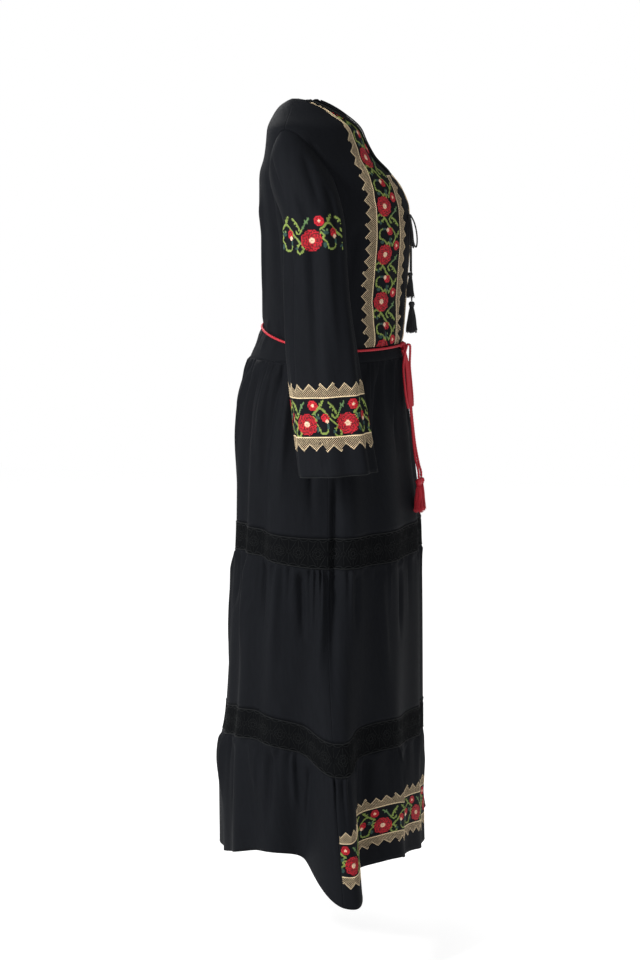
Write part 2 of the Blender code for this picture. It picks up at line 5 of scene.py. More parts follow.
import bmesh
import bpy
import numpy as np
from mathutils import Matrix, Vector


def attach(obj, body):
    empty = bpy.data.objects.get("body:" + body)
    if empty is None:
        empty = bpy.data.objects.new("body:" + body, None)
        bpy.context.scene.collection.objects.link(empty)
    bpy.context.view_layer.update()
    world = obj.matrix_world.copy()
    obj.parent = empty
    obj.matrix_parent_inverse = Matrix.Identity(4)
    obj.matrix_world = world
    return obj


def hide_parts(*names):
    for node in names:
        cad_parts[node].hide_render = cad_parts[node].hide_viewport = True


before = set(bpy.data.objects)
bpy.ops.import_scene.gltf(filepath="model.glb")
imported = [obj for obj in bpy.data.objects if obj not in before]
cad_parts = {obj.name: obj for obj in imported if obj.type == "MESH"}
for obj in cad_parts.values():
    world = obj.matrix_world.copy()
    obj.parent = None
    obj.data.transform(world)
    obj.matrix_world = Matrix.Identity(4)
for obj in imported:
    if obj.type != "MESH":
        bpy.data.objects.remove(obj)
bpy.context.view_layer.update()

scene = bpy.context.scene
rng = np.random.default_rng(7)
print("stage: frame loaded")

# Camera at the photograph's viewing angle
cameraSettings = {
    "azimuth": -76.0,        # degrees round the dress, 0 looks at the front
    "pitch": 8.0,            # degrees looked down
    "distance": 4.82,
    "aimHeight": -0.70,
    "aimShift": -0.0187,     # sideways, in metres
    "lens": 97.5,            # mm, on a sensor 36 mm high
}


def makeCamera(c):
    turn, tilt = math.radians(c["azimuth"]), math.radians(c["pitch"])
    back = Vector((math.sin(turn) * math.cos(tilt), -math.cos(turn) * math.cos(tilt), math.sin(tilt)))
    right = (-back).cross(Vector((0, 0, 1))).normalized()
    up = right.cross(-back)
    place = Vector((0, 0, c["aimHeight"])) + right * c["aimShift"] + back * c["distance"]
    data = bpy.data.cameras.new("viewCamera")
    data.sensor_fit = "VERTICAL"
    data.sensor_height = 36.0
    data.lens = c["lens"]
    camera = bpy.data.objects.new("viewCamera", data)
    scene.collection.objects.link(camera)
    camera.matrix_world = Matrix(((right.x, up.x, back.x, place.x), (right.y, up.y, back.y, place.y),
                                  (right.z, up.z, back.z, place.z), (0, 0, 0, 1)))
    scene.camera = camera


makeCamera(cameraSettings)

# The dress's form, as the cut pieces have it
seams = {"bodiceEnd": -0.468, "lace1": (-0.772, -0.828), "lace2": (-1.119, -1.175), "hem": -1.388,
         "panelAngle": math.radians(70.0)}
# z, half width, front depth, back depth, how far the widest points lie behind the middle
bodyForm = np.array((
    (0.000, 0.085, 0.022, 0.022, 0.046), (-0.004, 0.093, 0.036, 0.030, 0.045),
    (-0.013, 0.110, 0.052, 0.043, 0.043), (-0.028, 0.138, 0.070, 0.054, 0.041),
    (-0.055, 0.187, 0.092, 0.066, 0.036), (-0.078, 0.191, 0.098, 0.073, 0.032),
    (-0.105, 0.190, 0.106, 0.086, 0.025), (-0.134, 0.187, 0.125, 0.106, 0.016),
    (-0.165, 0.181, 0.138, 0.118, 0.007), (-0.200, 0.175, 0.143, 0.127, 0.000),
    (-0.250, 0.170, 0.146, 0.122, 0.000), (-0.300, 0.166, 0.143, 0.122, 0.000),
    (-0.360, 0.161, 0.139, 0.122, 0.000), (-0.404, 0.159, 0.136, 0.122, 0.000),
    (-0.432, 0.160, 0.134, 0.129, 0.000), (-0.468, 0.166, 0.134, 0.145, 0.000),
    (-0.500, 0.180, 0.136, 0.155, 0.000), (-0.560, 0.205, 0.139, 0.166, 0.000),
    (-0.650, 0.230, 0.147, 0.166, 0.000), (-0.780, 0.250, 0.160, 0.165, 0.000),
    (-0.950, 0.258, 0.164, 0.176, 0.000), (-1.134, 0.263, 0.163, 0.184, 0.000),
    (-1.230, 0.264, 0.162, 0.196, 0.000), (-1.388, 0.262, 0.163, 0.192, 0.000),
))
halfWidth, frontDepth, backDepth, sideShift = 1, 2, 3, 4
# z, half width of the neck opening
neckFront = np.array(((0.000, 0.0850), (-0.013, 0.0800), (-0.036, 0.0610), (-0.055, 0.0340),
                      (-0.061, 0.0230), (-0.103, 0.0090), (-0.1335, 0.0000)))
neckBack = np.array(((0.000, 0.0850), (-0.004, 0.0835), (-0.013, 0.0760), (-0.026, 0.0560),
                     (-0.036, 0.0280), (-0.040, 0.0000)))
neckTurn = 0.18
armhole = {"top": -0.055, "bottom": -0.212, "front": math.radians(28.0), "back": math.radians(25.0)}
armMiddle, armHalf = 0.5 * (armhole["top"] + armhole["bottom"]), 0.5 * (armhole["top"] - armhole["bottom"])
# Hanging folds: angle and half angle in degrees, start, depth, drop
hangingFolds = (
    (68.0, 10.5, -0.88, 0.106, 0.046), (50.0, 7.0, -0.95, -0.012, 0.0), (87.0, 10.0, -0.90, -0.012, 0.0),
    (34.0, 12.0, -0.92, 0.032, -0.021), (128.0, 15.0, -0.72, 0.013, 0.0), (168.0, 13.0, -0.80, 0.011, 0.0),
    (206.0, 14.0, -0.75, 0.012, 0.0), (246.0, 14.0, -0.82, 0.013, 0.0), (294.0, 11.0, -0.90, 0.080, 0.016),
    (314.0, 8.0, -0.95, -0.012, 0.0), (348.0, 13.0, -0.92, 0.009, 0.010),
)
# How the skirt rides up behind each side: z, angle and half angle in degrees, rise
rises = np.array(((-0.560, 135.0, 34.0, 0.000), (-0.772, 132.0, 34.0, 0.014), (-0.828, 128.0, 35.0, 0.021),
                  (-1.119, 120.0, 37.0, 0.032), (-1.175, 118.0, 38.0, 0.034), (-1.388, 103.0, 38.0, 0.047)))
# Gathers below a seam: top, count all round, depth, length, phase
gathers = ((seams["bodiceEnd"], 22, 0.0045, 0.140, 0.4), (seams["lace1"][1], 24, 0.0036, 0.120, 1.3),
           (seams["lace2"][1], 25, 0.0036, 0.110, 2.1))
longWaves = {"count": 13, "depth": 0.0060}
# Sleeve: z, where its middle lies outwards and forwards, half widths outwards and fore and aft
sleeveRight = np.array(((-0.240, 0.224, 0.029, 0.044, 0.0534), (-0.350, 0.241, 0.038, 0.045, 0.0580),
                        (-0.450, 0.259, 0.050, 0.046, 0.0640), (-0.550, 0.279, 0.067, 0.047, 0.0655),
                        (-0.645, 0.301, 0.086, 0.048, 0.0680)))
sleeveLeft = np.array(((-0.240, 0.224, 0.012, 0.044, 0.0534), (-0.350, 0.241, 0.004, 0.045, 0.0580),
                       (-0.450, 0.259, -0.004, 0.046, 0.0640), (-0.550, 0.279, -0.008, 0.047, 0.0655),
                       (-0.645, 0.301, -0.008, 0.048, 0.0680)))
cuffRise = 0.080

# Fine creases laid over the form: angle in degrees, top, bottom, drift in degrees, half
# width in degrees, depth (below 0 is a trough), as whole numbers that the last line scales
skirtCreases = np.array((
    (12, 475, 660, 3, 22, -35), (21, 474, 600, -2, 18, 30), (33, 476, 740, 4, 24, -42),
    (44, 474, 620, -3, 20, 32), (57, 475, 760, 3, 26, -36), (71, 475, 690, 2, 24, 30),
    (84, 476, 770, -4, 28, -44), (99, 475, 710, 2, 22, 34), (110, 474, 660, 3, 24, -40),
    (121, 475, 750, -3, 26, 36), (133, 474, 640, 2, 22, -46), (146, 475, 730, 4, 24, 36),
    (159, 476, 680, -2, 22, -38), (172, 475, 760, 3, 26, 30), (186, 475, 660, -3, 24, -36),
    (201, 474, 720, 2, 26, 34), (217, 475, 670, -3, 22, -42), (232, 475, 760, 2, 26, 30),
    (247, 474, 630, 3, 22, -40), (262, 475, 720, -2, 26, 34), (278, 475, 660, 3, 24, -38),
    (295, 474, 750, -3, 26, 32), (311, 475, 630, 2, 22, -36), (328, 475, 700, 3, 24, 30),
    (345, 474, 640, -2, 22, -34), (18, 830, 990, 3, 20, -34), (37, 832, 1090, -4, 26, 34),
    (52, 830, 960, 2, 18, -30), (64, 640, 1100, 5, 26, -50), (73, 831, 1050, 3, 22, 36),
    (88, 830, 980, -3, 22, -40), (101, 832, 1110, 4, 28, 30), (114, 830, 970, -2, 20, -44),
    (126, 831, 1060, 3, 24, 34), (139, 830, 950, 2, 18, -42), (151, 832, 1080, -4, 24, 32),
    (165, 830, 1000, 2, 22, -36), (183, 831, 1070, 3, 26, 30), (199, 830, 960, -2, 20, -40),
    (218, 832, 1040, 3, 24, 34), (236, 830, 980, -3, 22, -38), (254, 831, 1090, 4, 26, 32),
    (271, 830, 970, 2, 20, -40), (289, 832, 1060, -3, 24, 32), (306, 830, 980, 2, 22, -36),
    (333, 831, 1030, 3, 24, 30), (350, 830, 950, -2, 20, -32), (10, 1177, 1310, 3, 22, -32),
    (28, 1178, 1370, -3, 26, 30), (44, 1177, 1290, 2, 18, -34), (79, 1177, 1360, 4, 22, -46),
    (92, 1178, 1310, -2, 20, 34), (103, 1177, 1370, 3, 24, -42), (116, 1178, 1300, -3, 22, 36),
    (129, 1177, 1360, 2, 22, -40), (142, 1178, 1320, 3, 20, 34), (154, 1177, 1370, -3, 24, -36),
    (170, 1178, 1300, 2, 22, 32), (188, 1177, 1360, 3, 24, -36), (207, 1178, 1310, -2, 22, 34),
    (225, 1177, 1370, 3, 24, -40), (243, 1178, 1300, -3, 22, 34), (261, 1177, 1360, 2, 24, -38),
    (277, 1178, 1320, 3, 22, 32), (318, 1177, 1340, -3, 22, -34), (338, 1178, 1300, 2, 22, 30),
)) * (1, -0.001, -0.001, 1, 0.1, 0.0001)
bodiceCreases = np.array((
    (55, 215, 400, 10, 34, -34), (64, 240, 440, -6, 30, 26), (74, 200, 370, -8, 30, -30),
    (83, 220, 440, 4, 32, 30), (101, 220, 400, 8, 32, -36), (113, 190, 430, -6, 34, 30),
    (126, 120, 400, -10, 34, -34), (143, 160, 440, 6, 36, 28), (160, 110, 380, -5, 34, -26),
    (186, 150, 430, 6, 36, 26), (205, 120, 400, -8, 34, -32), (224, 180, 440, 6, 34, 28),
    (243, 140, 400, -8, 32, -34), (258, 220, 430, 6, 32, 30), (286, 210, 380, 7, 30, -32),
    (299, 240, 440, -6, 30, 26), (66, 70, 200, -14, 34, -28), (294, 70, 200, 14, 34, -28),
    (7, 360, 450, 2, 24, -22), (352, 340, 450, -2, 24, -22), (25, 400, 462, 1, 16, -18),
    (31, 410, 464, -1, 15, 16), (90, 385, 462, 2, 18, 22), (120, 390, 464, -2, 18, -24),
    (136, 395, 463, 2, 18, 22), (152, 390, 464, -2, 18, -24), (170, 395, 463, 1, 18, 20),
)) * (1, -0.001, -0.001, 1, 0.1, 0.0001)
# On the sleeves the second and third values run down the sleeve: 1 at its cap's end, 2 at the cuff
sleeveCreases = np.array((
    (30, 45, 125, 8, 8, -30), (62, 70, 175, -10, 9, 26), (84, 95, 195, 8, 8, -32),
    (108, 60, 150, -8, 9, 28), (133, 100, 198, 6, 8, -34), (158, 80, 170, 8, 9, 26),
    (196, 90, 195, -8, 10, -30), (232, 80, 180, 8, 10, 26), (271, 95, 195, -6, 10, -30),
    (312, 80, 185, 8, 10, 26), (345, 105, 195, -8, 9, -30), (96, 184, 204, 1, 3, -32),
    (52, 20, 90, 14, 9, -24), (140, 20, 85, -12, 9, -24),
)) * (1, 0.01, 0.01, 1, 1, 0.0001)
# How strongly the creases are pressed in, and the height of the fine gathers in metres
creaseDepth = {"skirt": 2.0, "bodice": 1.6, "sleeve": 1.8, "gather": 0.0030}


def tableCurve(table, column, where):
    # Smooth curve through a table's column: cubic between rows, slopes the harmonic mean of
    # the neighbouring slopes, so that nothing overshoots.
    table = table[np.argsort(table[:, 0])]
    xs, ys = table[:, 0], table[:, column]
    step = np.diff(xs)
    slope = np.diff(ys) / step
    together = slope[:-1] * slope[1:] > 0.0
    total = np.where(together, slope[:-1] + slope[1:], 1.0)
    middle = np.where(together, 2.0 * slope[:-1] * slope[1:] / total, 0.0)
    tangent = np.concatenate([slope[:1], middle, slope[-1:]])
    where = np.clip(where, xs[0], xs[-1])
    k = np.clip(np.searchsorted(xs, where, side="right") - 1, 0, len(xs) - 2)
    t = (where - xs[k]) / step[k]
    return hermite(t, ys[k], ys[k + 1], step[k] * tangent[k], step[k] * tangent[k + 1])


def hermite(t, start, end, leave, arrive):
    # Cubic curve between two points with the given tangents.
    return ((1 + 2 * t) * (1 - t) ** 2 * start + t * (1 - t) ** 2 * leave
            + t * t * (3 - 2 * t) * end + t * t * (t - 1) * arrive)


def fullTurn(count):
    return np.linspace(0.0, 2.0 * math.pi, count, endpoint=False)


def smoothStep(low, high, value):
    t = np.clip((value - low) / (high - low), 0.0, 1.0)
    return t * t * (3.0 - 2.0 * t)


def angleBetween(angle, centre):
    return (angle - centre + math.pi) % (2.0 * math.pi) - math.pi


def unit(vectors):
    return vectors / np.maximum(np.linalg.norm(vectors, axis=-1, keepdims=True), 1e-12)


def beltHeight(angle):
    # Lower in front and at the sides than at the back.
    return -0.428 - 0.018 * np.cos(angle) - 0.013 * np.sin(angle) ** 2


def creasePush(angle, level, creases):
    # Each crease is a bell across its width, drawn in at its top and faded over its lower half.
    push = np.zeros(np.broadcast(angle, level).shape)
    for centre, top, bottom, drift, wide, depth in creases:
        t = (level - top) / (bottom - top)
        spread = angleBetween(angle, np.radians(centre + drift * np.clip(t, 0.0, 1.0))) / math.radians(wide)
        window = smoothStep(0.0, 0.15, t) * (1.0 - smoothStep(0.45, 1.0, t))
        push += depth * window * np.exp(-spread ** 2)
    return push


def fineGathers(angle, z):
    # Small uneven ripples close under each gathered seam, fading within a few centimetres.
    push = np.zeros(np.broadcast(angle, z).shape)
    for top, count, depth, length, phase in gathers:
        down = top - z
        fade = np.where(down > 0.0, np.clip(down / 0.006, 0.0, 1.0) * np.exp(-down / 0.040), 0.0)
        uneven = angle + 0.05 * np.sin(9.0 * angle + phase) + 0.03 * np.sin(17.0 * angle + 2.0 * phase)
        ripple = np.sin(round(2.7 * count) * uneven + phase) + 0.6 * np.sin(round(4.3 * count) * uneven + 2.0)
        push += creaseDepth["gather"] * fade * ripple
    return push


def bodyPoint(angle, z, creased=True):
    # Half ellipses in front and behind, pushed out by the folds, gathers, waves and creases,
    # lowered or raised by the folds' drop and the skirt's rise.
    angle, z = np.broadcast_arrays(np.asarray(angle, float), np.asarray(z, float))
    cos, sin = np.cos(angle), np.sin(angle)
    width = tableCurve(bodyForm, halfWidth, z)
    depth = np.where(cos > 0.0, tableCurve(bodyForm, frontDepth, z), tableCurve(bodyForm, backDepth, z))
    outX, outY = -sin * depth, -cos * width
    reach, drop = np.zeros(angle.shape), np.zeros(angle.shape)
    for centre, wide, start, deep, longer in hangingFolds:
        spread = angleBetween(angle, math.radians(centre)) / math.radians(wide)
        growth = np.clip((start - z) / (start - seams["hem"]), 0.0, 1.0) ** 1.35
        shape = growth * np.exp(-np.abs(spread) ** 2.6)
        reach += deep * shape
        drop += longer * shape
    uneven = angle + 0.16 * np.sin(2.0 * angle + 0.7) + 0.07 * np.sin(5.0 * angle + 1.9)
    calm = 0.45 + 0.55 * np.abs(sin)
    waves = np.sin(longWaves["count"] * uneven + 0.5 * np.sin(3.0 * angle))
    reach += longWaves["depth"] * calm * smoothStep(seams["bodiceEnd"], -0.620, z) * waves
    for top, count, deep, length, phase in gathers:
        down = (top - z) / length
        fade = np.where(down > 0.0, np.clip(down * 6.0, 0.0, 1.0) * np.exp(-2.2 * down), 0.0)
        ripple = np.sin(count * (angle + 0.03 * np.sin(7.0 * angle + phase)) + phase)
        reach += deep * calm * fade * ripple * (1.0 + 0.3 * np.sin(5.0 * angle + phase))
    reach -= 0.0035 * np.exp(-(((z - beltHeight(angle)) / 0.011) ** 2))
    if creased:
        reach += creaseDepth["skirt"] * creasePush(angle, z, skirtCreases) + fineGathers(angle, z)
        reach += creaseDepth["bodice"] * creasePush(angle, z, bodiceCreases)
    push = reach / np.hypot(outX, outY)
    x = -width * sin + push * outX
    y = tableCurve(bodyForm, sideShift, z) - depth * cos + push * outY
    nearNeck = smoothStep(-0.200, -0.050, z) * (1.0 - smoothStep(0.040, 0.170, np.abs(x)))
    y = y + neckTurn * x * nearNeck * smoothStep(0.0, 0.5, cos)
    centre, wide = np.radians(tableCurve(rises, 1, z)), np.radians(tableCurve(rises, 2, z))
    up = tableCurve(rises, 3, z) * (np.exp(-((angleBetween(angle, centre) / wide) ** 2))
                                    + np.exp(-((angleBetween(angle, -centre) / wide) ** 2)))
    return np.stack([x, y, z - drop + up], axis=-1)


def bodyNormal(angle, z):
    # Square to the uncreased cloth, and level on the skirt, as the cut pieces have it.
    small = 1e-4
    across = bodyPoint(angle + small, z, False) - bodyPoint(angle - small, z, False)
    low = np.minimum(z + small, -0.0005)
    along = bodyPoint(angle, low, False) - bodyPoint(angle, low - 2.0 * small, False)
    normal = unit(np.cross(along, across))
    normal[..., 2] *= smoothStep(-0.42, -0.32, z)
    return unit(normal)


# Meshes and surfaces

def makePiece(name, points, faces, material, slot, uv=None, colours=None, smooth=True, replaced=()):
    mesh = bpy.data.meshes.new(name)
    faces = faces.tolist() if hasattr(faces, "tolist") else faces
    mesh.from_pydata(np.asarray(points).tolist(), [], faces)
    mesh.polygons.foreach_set("use_smooth", np.full(len(mesh.polygons), smooth))
    if uv is not None:
        corners = np.empty(len(mesh.loops), int)
        mesh.loops.foreach_get("vertex_index", corners)
        mesh.uv_layers.new(name="clothMetres").data.foreach_set("uv", uv[corners].ravel())
    if colours is not None:
        layer = mesh.color_attributes.new("threadColour", "FLOAT_COLOR", "POINT")
        layer.data.foreach_set("color", np.hstack([colours, np.ones((len(colours), 1))]).ravel())
    mesh.materials.append(material)
    mesh.update()
    piece = bpy.data.objects.new(name, mesh)
    scene.collection.objects.link(piece)
    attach(piece, "root")
    if replaced:
        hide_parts(*replaced)
    return piece


def makeSurface(points, closed=False, outFrom=None):
    # A grid of points, its outward normals, the length down each column and across each row.
    # On a closed surface the first column is repeated at the end.
    if closed:
        points = np.concatenate([points, points[:, :1]], axis=1)
        around = np.concatenate([points[:, -2:-1], points, points[:, 1:2]], axis=1)
        across = (around[:, 2:] - around[:, :-2])
    else:
        across = np.gradient(points, axis=1)
    along = np.gradient(points, axis=0)
    normals = unit(np.cross(along, across))
    centre = np.zeros(3) if outFrom is None else outFrom
    outwards = points - centre
    if outFrom is None:
        outwards = outwards * np.array([1.0, 1.0, 0.0])
    if np.sum(normals * outwards) < 0.0:
        normals = -normals
    down = np.zeros(points.shape[:2])
    down[1:] = np.cumsum(np.linalg.norm(np.diff(points, axis=0), axis=-1), axis=0)
    arc = np.zeros(points.shape[:2])
    arc[:, 1:] = np.cumsum(np.linalg.norm(np.diff(points, axis=1), axis=-1), axis=1)
    return {"points": points, "normals": normals, "down": down, "arc": arc, "closed": closed}


def onSurface(surface, row, column, lift=0.0):
    # Straight mixing of the four nearest grid points, moved out along the normal.
    points, normals = surface["points"], surface["normals"]
    row, column = np.broadcast_arrays(np.asarray(row, float), np.asarray(column, float))
    r = np.clip(np.floor(row).astype(int), 0, points.shape[0] - 2)
    c = np.clip(np.floor(column).astype(int), 0, points.shape[1] - 2)
    fr = np.clip(row - r, 0.0, 1.0)[..., None]
    fc = np.clip(column - c, 0.0, 1.0)[..., None]

    def mixed(grid):
        return ((1 - fr) * ((1 - fc) * grid[r, c] + fc * grid[r, c + 1])
                + fr * ((1 - fc) * grid[r + 1, c] + fc * grid[r + 1, c + 1]))

    normal = unit(mixed(normals))
    return mixed(points) + np.asarray(lift)[..., None] * normal, normal


def gridQuads(rows, columns, closed=False):
    # Quads between neighbouring rows and columns; a closed grid joins its last column to its first.
    index = np.arange(rows * columns).reshape(rows, columns)
    beside = np.roll(index, -1, axis=1) if closed else index[:, 1:]
    here = index if closed else index[:, :-1]
    return np.stack([here[:-1], beside[:-1], beside[1:], here[1:]], axis=-1).reshape(-1, 4)


def facesOut(points, quads, normals):
    # True if the first corners of the quads turn the way the normals point.
    a, b, d = points[quads[:, 0]], points[quads[:, 1]], points[quads[:, 3 if quads.shape[1] > 3 else 2]]
    return np.sum(np.cross(b - a, d - a) * normals[quads[:, 0]]) > 0.0


def addWall(piece, thickness):
    wall = piece.modifiers.new("wall", "SOLIDIFY")
    wall.thickness = thickness
    wall.offset = -1.0
    return piece


def closedPiece(*settings, replaced=()):
    # A piece of closed meshes, with every face turned outwards.
    piece = makePiece(*settings, replaced=replaced)
    bm = bmesh.new()
    bm.from_mesh(piece.data)
    bmesh.ops.recalc_face_normals(bm, faces=bm.faces)
    bm.to_mesh(piece.data)
    bm.free()
    return piece


def joined(parts):
    # Several meshes' points and faces as one mesh.
    points, faces, start = [], [], 0
    for partPoints, partFaces in parts:
        points.append(partPoints)
        faces += [[corner + start for corner in face] for face in partFaces]
        start += len(partPoints)
    return np.vstack(points), faces


def clothPiece(name, surface, material, slot, thickness, replaced, lift=0.0):
    # The surface as a mesh with UVs in metres, and a wall that stands on its inner side.
    points = surface["points"] + lift * surface["normals"]
    normals, arc, down = surface["normals"], surface["arc"], surface["down"]
    closed = surface["closed"]
    if closed:
        points, normals, arc, down = points[:, :-1], normals[:, :-1], arc[:, :-1], down[:, :-1]
    flat = points.reshape(-1, 3)
    quads = gridQuads(points.shape[0], points.shape[1], closed)
    if not facesOut(flat, quads, normals.reshape(-1, 3)):
        quads = quads[:, ::-1]
    uv = np.stack([arc, down], axis=-1).reshape(-1, 2)
    return addWall(makePiece(name, flat, quads, material, slot, uv=uv, replaced=replaced), thickness)


def sideVectors(paths, normals):
    tangent = unit(np.gradient(paths, axis=1))
    side = unit(np.cross(tangent, normals))
    return side, unit(np.cross(side, tangent))


def tubes(paths, normals, radius, sides, ringed=False):
    # Round tubes along many paths at once, paths by points: each ring lies square to its path.
    # ringed joins each path's end to its start. Returns points and faces.
    paths = np.asarray(paths, float)
    normals = np.broadcast_to(np.asarray(normals, float), paths.shape)
    if ringed:
        wrapped = np.concatenate([paths[:, -1:], paths, paths[:, :1]], axis=1)
        tangent = unit(wrapped[:, 2:] - wrapped[:, :-2])
        side = unit(np.cross(tangent, normals))
        up = unit(np.cross(side, tangent))
    else:
        side, up = sideVectors(paths, normals)
    turn = fullTurn(sides)
    radius = np.broadcast_to(np.asarray(radius, float), paths.shape[:2])[..., None, None]
    ring = radius * (np.cos(turn)[:, None] * side[:, :, None, :] + np.sin(turn)[:, None] * up[:, :, None, :])
    points = paths[:, :, None, :] + ring
    count, length = paths.shape[:2]
    index = np.arange(count * length * sides).reshape(count, length, sides)
    after = np.roll(index, -1, axis=1) if ringed else index[:, 1:]
    here = index if ringed else index[:, :-1]
    walls = np.stack([here, np.roll(here, -1, axis=2), np.roll(after, -1, axis=2), after], axis=-1).reshape(-1, 4)
    faces = walls.tolist()
    if not ringed:
        faces += index[:, 0, ::-1].tolist() + index[:, -1].tolist()
    return points.reshape(-1, 3), faces


def smoothRoute(points, spacing):
    # Evenly spaced points on a cubic curve through the route's own points.
    points = np.array(points, float)
    before = np.vstack([2.0 * points[0] - points[1], points[:-1]])
    after = np.vstack([points[1:], 2.0 * points[-1] - points[-2]])
    tangent = 0.5 * (after - before)
    t = np.linspace(0.0, 1.0, 25)[None, 1:, None]
    a, b, ta, tb = points[:-1, None], points[1:, None], tangent[:-1, None], tangent[1:, None]
    fine = np.vstack([points[:1], hermite(t, a, b, ta, tb).reshape(-1, 3)])
    length = np.concatenate([[0.0], np.cumsum(np.linalg.norm(np.diff(fine, axis=0), axis=1))])
    at = np.linspace(0.0, length[-1], max(4, round(length[-1] / spacing)) + 1)
    return np.stack([np.interp(at, length, fine[:, axis]) for axis in range(3)], axis=-1), length[-1]


# Materials

def nodeGroup(name, inputs, outputs):
    group = bpy.data.node_groups.new(name, "ShaderNodeTree")
    for label, kind, value in inputs:
        socket = group.interface.new_socket(label, in_out="INPUT", socket_type=kind)
        if value is not None:
            socket.default_value = value
    for label, kind in outputs:
        group.interface.new_socket(label, in_out="OUTPUT", socket_type=kind)
    return group, group.nodes.new("NodeGroupInput"), group.nodes.new("NodeGroupOutput")


def mathNode(nodes, links, operation, first, second=None, clamp=False):
    node = nodes.new("ShaderNodeMath")
    node.operation = operation
    node.use_clamp = clamp
    for socket, value in zip(node.inputs, (first, second)):
        if value is None:
            continue
        if isinstance(value, (int, float)):
            socket.default_value = value
        else:
            links.new(value, socket)
    return node.outputs[0]


def weaveGroup():
    # Plain weave from two crossed waves, uneven yarns, and slow shade changes over the cloth.
    group, start, end = nodeGroup(
        "plainWeave",
        (("Vector", "NodeSocketVector", None), ("Yarns per metre", "NodeSocketFloat", 1100.0),
         ("Crinkle", "NodeSocketFloat", 1.0)),
        (("Shade", "NodeSocketFloat"), ("Height", "NodeSocketFloat")))
    nodes, links = group.nodes, group.links
    split = nodes.new("ShaderNodeSeparateXYZ")
    links.new(start.outputs["Vector"], split.inputs[0])
    turn = mathNode(nodes, links, "MULTIPLY", start.outputs["Yarns per metre"], 6.2832)
    warp = mathNode(nodes, links, "SINE", mathNode(nodes, links, "MULTIPLY", split.outputs[0], turn))
    weft = mathNode(nodes, links, "SINE", mathNode(nodes, links, "MULTIPLY", split.outputs[1], turn))
    weave = mathNode(nodes, links, "MULTIPLY", warp, weft)
    stretch = nodes.new("ShaderNodeMapping")
    stretch.inputs["Scale"].default_value = (1.0, 0.16, 1.0)
    links.new(start.outputs["Vector"], stretch.inputs["Vector"])
    crinkle = nodes.new("ShaderNodeTexNoise")
    crinkle.inputs["Scale"].default_value = 150.0
    crinkle.inputs["Detail"].default_value = 4.0
    crinkle.inputs["Roughness"].default_value = 0.6
    links.new(stretch.outputs[0], crinkle.inputs["Vector"])
    slow = nodes.new("ShaderNodeTexNoise")
    slow.inputs["Scale"].default_value = 14.0
    slow.inputs["Detail"].default_value = 3.0
    links.new(stretch.outputs[0], slow.inputs["Vector"])
    shade = mathNode(nodes, links, "ADD", mathNode(nodes, links, "MULTIPLY", crinkle.outputs[0], 0.5),
                     mathNode(nodes, links, "MULTIPLY", slow.outputs[0], 0.5))
    height = mathNode(nodes, links, "ADD",
                      mathNode(nodes, links, "MULTIPLY", crinkle.outputs[0], start.outputs["Crinkle"]),
                      mathNode(nodes, links, "MULTIPLY", weave, 0.10))
    links.new(shade, end.inputs["Shade"])
    links.new(height, end.inputs["Height"])
    return group


def fibreGroup():
    # Fine fibres along a thread: stretched noise as shade and as height.
    group, start, end = nodeGroup(
        "threadFibres", (("Vector", "NodeSocketVector", None), ("Fineness", "NodeSocketFloat", 1500.0)),
        (("Shade", "NodeSocketFloat"), ("Height", "NodeSocketFloat")))
    nodes, links = group.nodes, group.links
    noise = nodes.new("ShaderNodeTexNoise")
    noise.inputs["Detail"].default_value = 3.0
    links.new(start.outputs["Vector"], noise.inputs["Vector"])
    links.new(start.outputs["Fineness"], noise.inputs["Scale"])
    links.new(noise.outputs[0], end.inputs["Shade"])
    links.new(noise.outputs[0], end.inputs["Height"])
    return group


plainWeave, threadFibres = weaveGroup(), fibreGroup()


def clothFinish(name, s):
    # s: colours of the darkest and lightest yarn, roughness, sheen, bump strength and so on.
    material = bpy.data.materials.new(name)
    material.use_nodes = True
    nodes, links = material.node_tree.nodes, material.node_tree.links
    shader = nodes["Principled BSDF"]
    shader.inputs["Roughness"].default_value = s["roughness"]
    shader.inputs["Sheen Weight"].default_value = s["sheen"]
    shader.inputs["Sheen Roughness"].default_value = 0.45
    shader.inputs["Sheen Tint"].default_value = (*s["sheenTint"], 1.0)
    shader.inputs["Specular IOR Level"].default_value = s["specular"]
    coordinates = nodes.new("ShaderNodeTexCoord")
    effect = nodes.new("ShaderNodeGroup")
    effect.node_tree = s["group"]
    if s["group"] == plainWeave:
        links.new(coordinates.outputs["UV"], effect.inputs["Vector"])
        effect.inputs["Crinkle"].default_value = s["crinkle"]
    else:
        links.new(coordinates.outputs["Object"], effect.inputs["Vector"])
        effect.inputs["Fineness"].default_value = s["fineness"]
    mix = nodes.new("ShaderNodeMix")
    mix.data_type = "RGBA"
    links.new(effect.outputs["Shade"], mix.inputs["Factor"])
    if s.get("attribute"):
        colour = nodes.new("ShaderNodeAttribute")
        colour.attribute_name = "threadColour"
        darker = nodes.new("ShaderNodeMix")
        darker.data_type = "RGBA"
        darker.blend_type = "MULTIPLY"
        darker.inputs["Factor"].default_value = 1.0
        darker.inputs["B"].default_value = (*s["dark"], 1.0)
        links.new(colour.outputs["Color"], darker.inputs["A"])
        links.new(darker.outputs["Result"], mix.inputs["A"])
        links.new(colour.outputs["Color"], mix.inputs["B"])
    else:
        mix.inputs["A"].default_value = (*s["dark"], 1.0)
        mix.inputs["B"].default_value = (*s["light"], 1.0)
    links.new(mix.outputs["Result"], shader.inputs["Base Color"])
    bump = nodes.new("ShaderNodeBump")
    bump.inputs["Strength"].default_value = s["bump"]
    bump.inputs["Distance"].default_value = s["bumpDistance"]
    links.new(effect.outputs["Height"], bump.inputs["Height"])
    links.new(bump.outputs["Normal"], shader.inputs["Normal"])
    return material


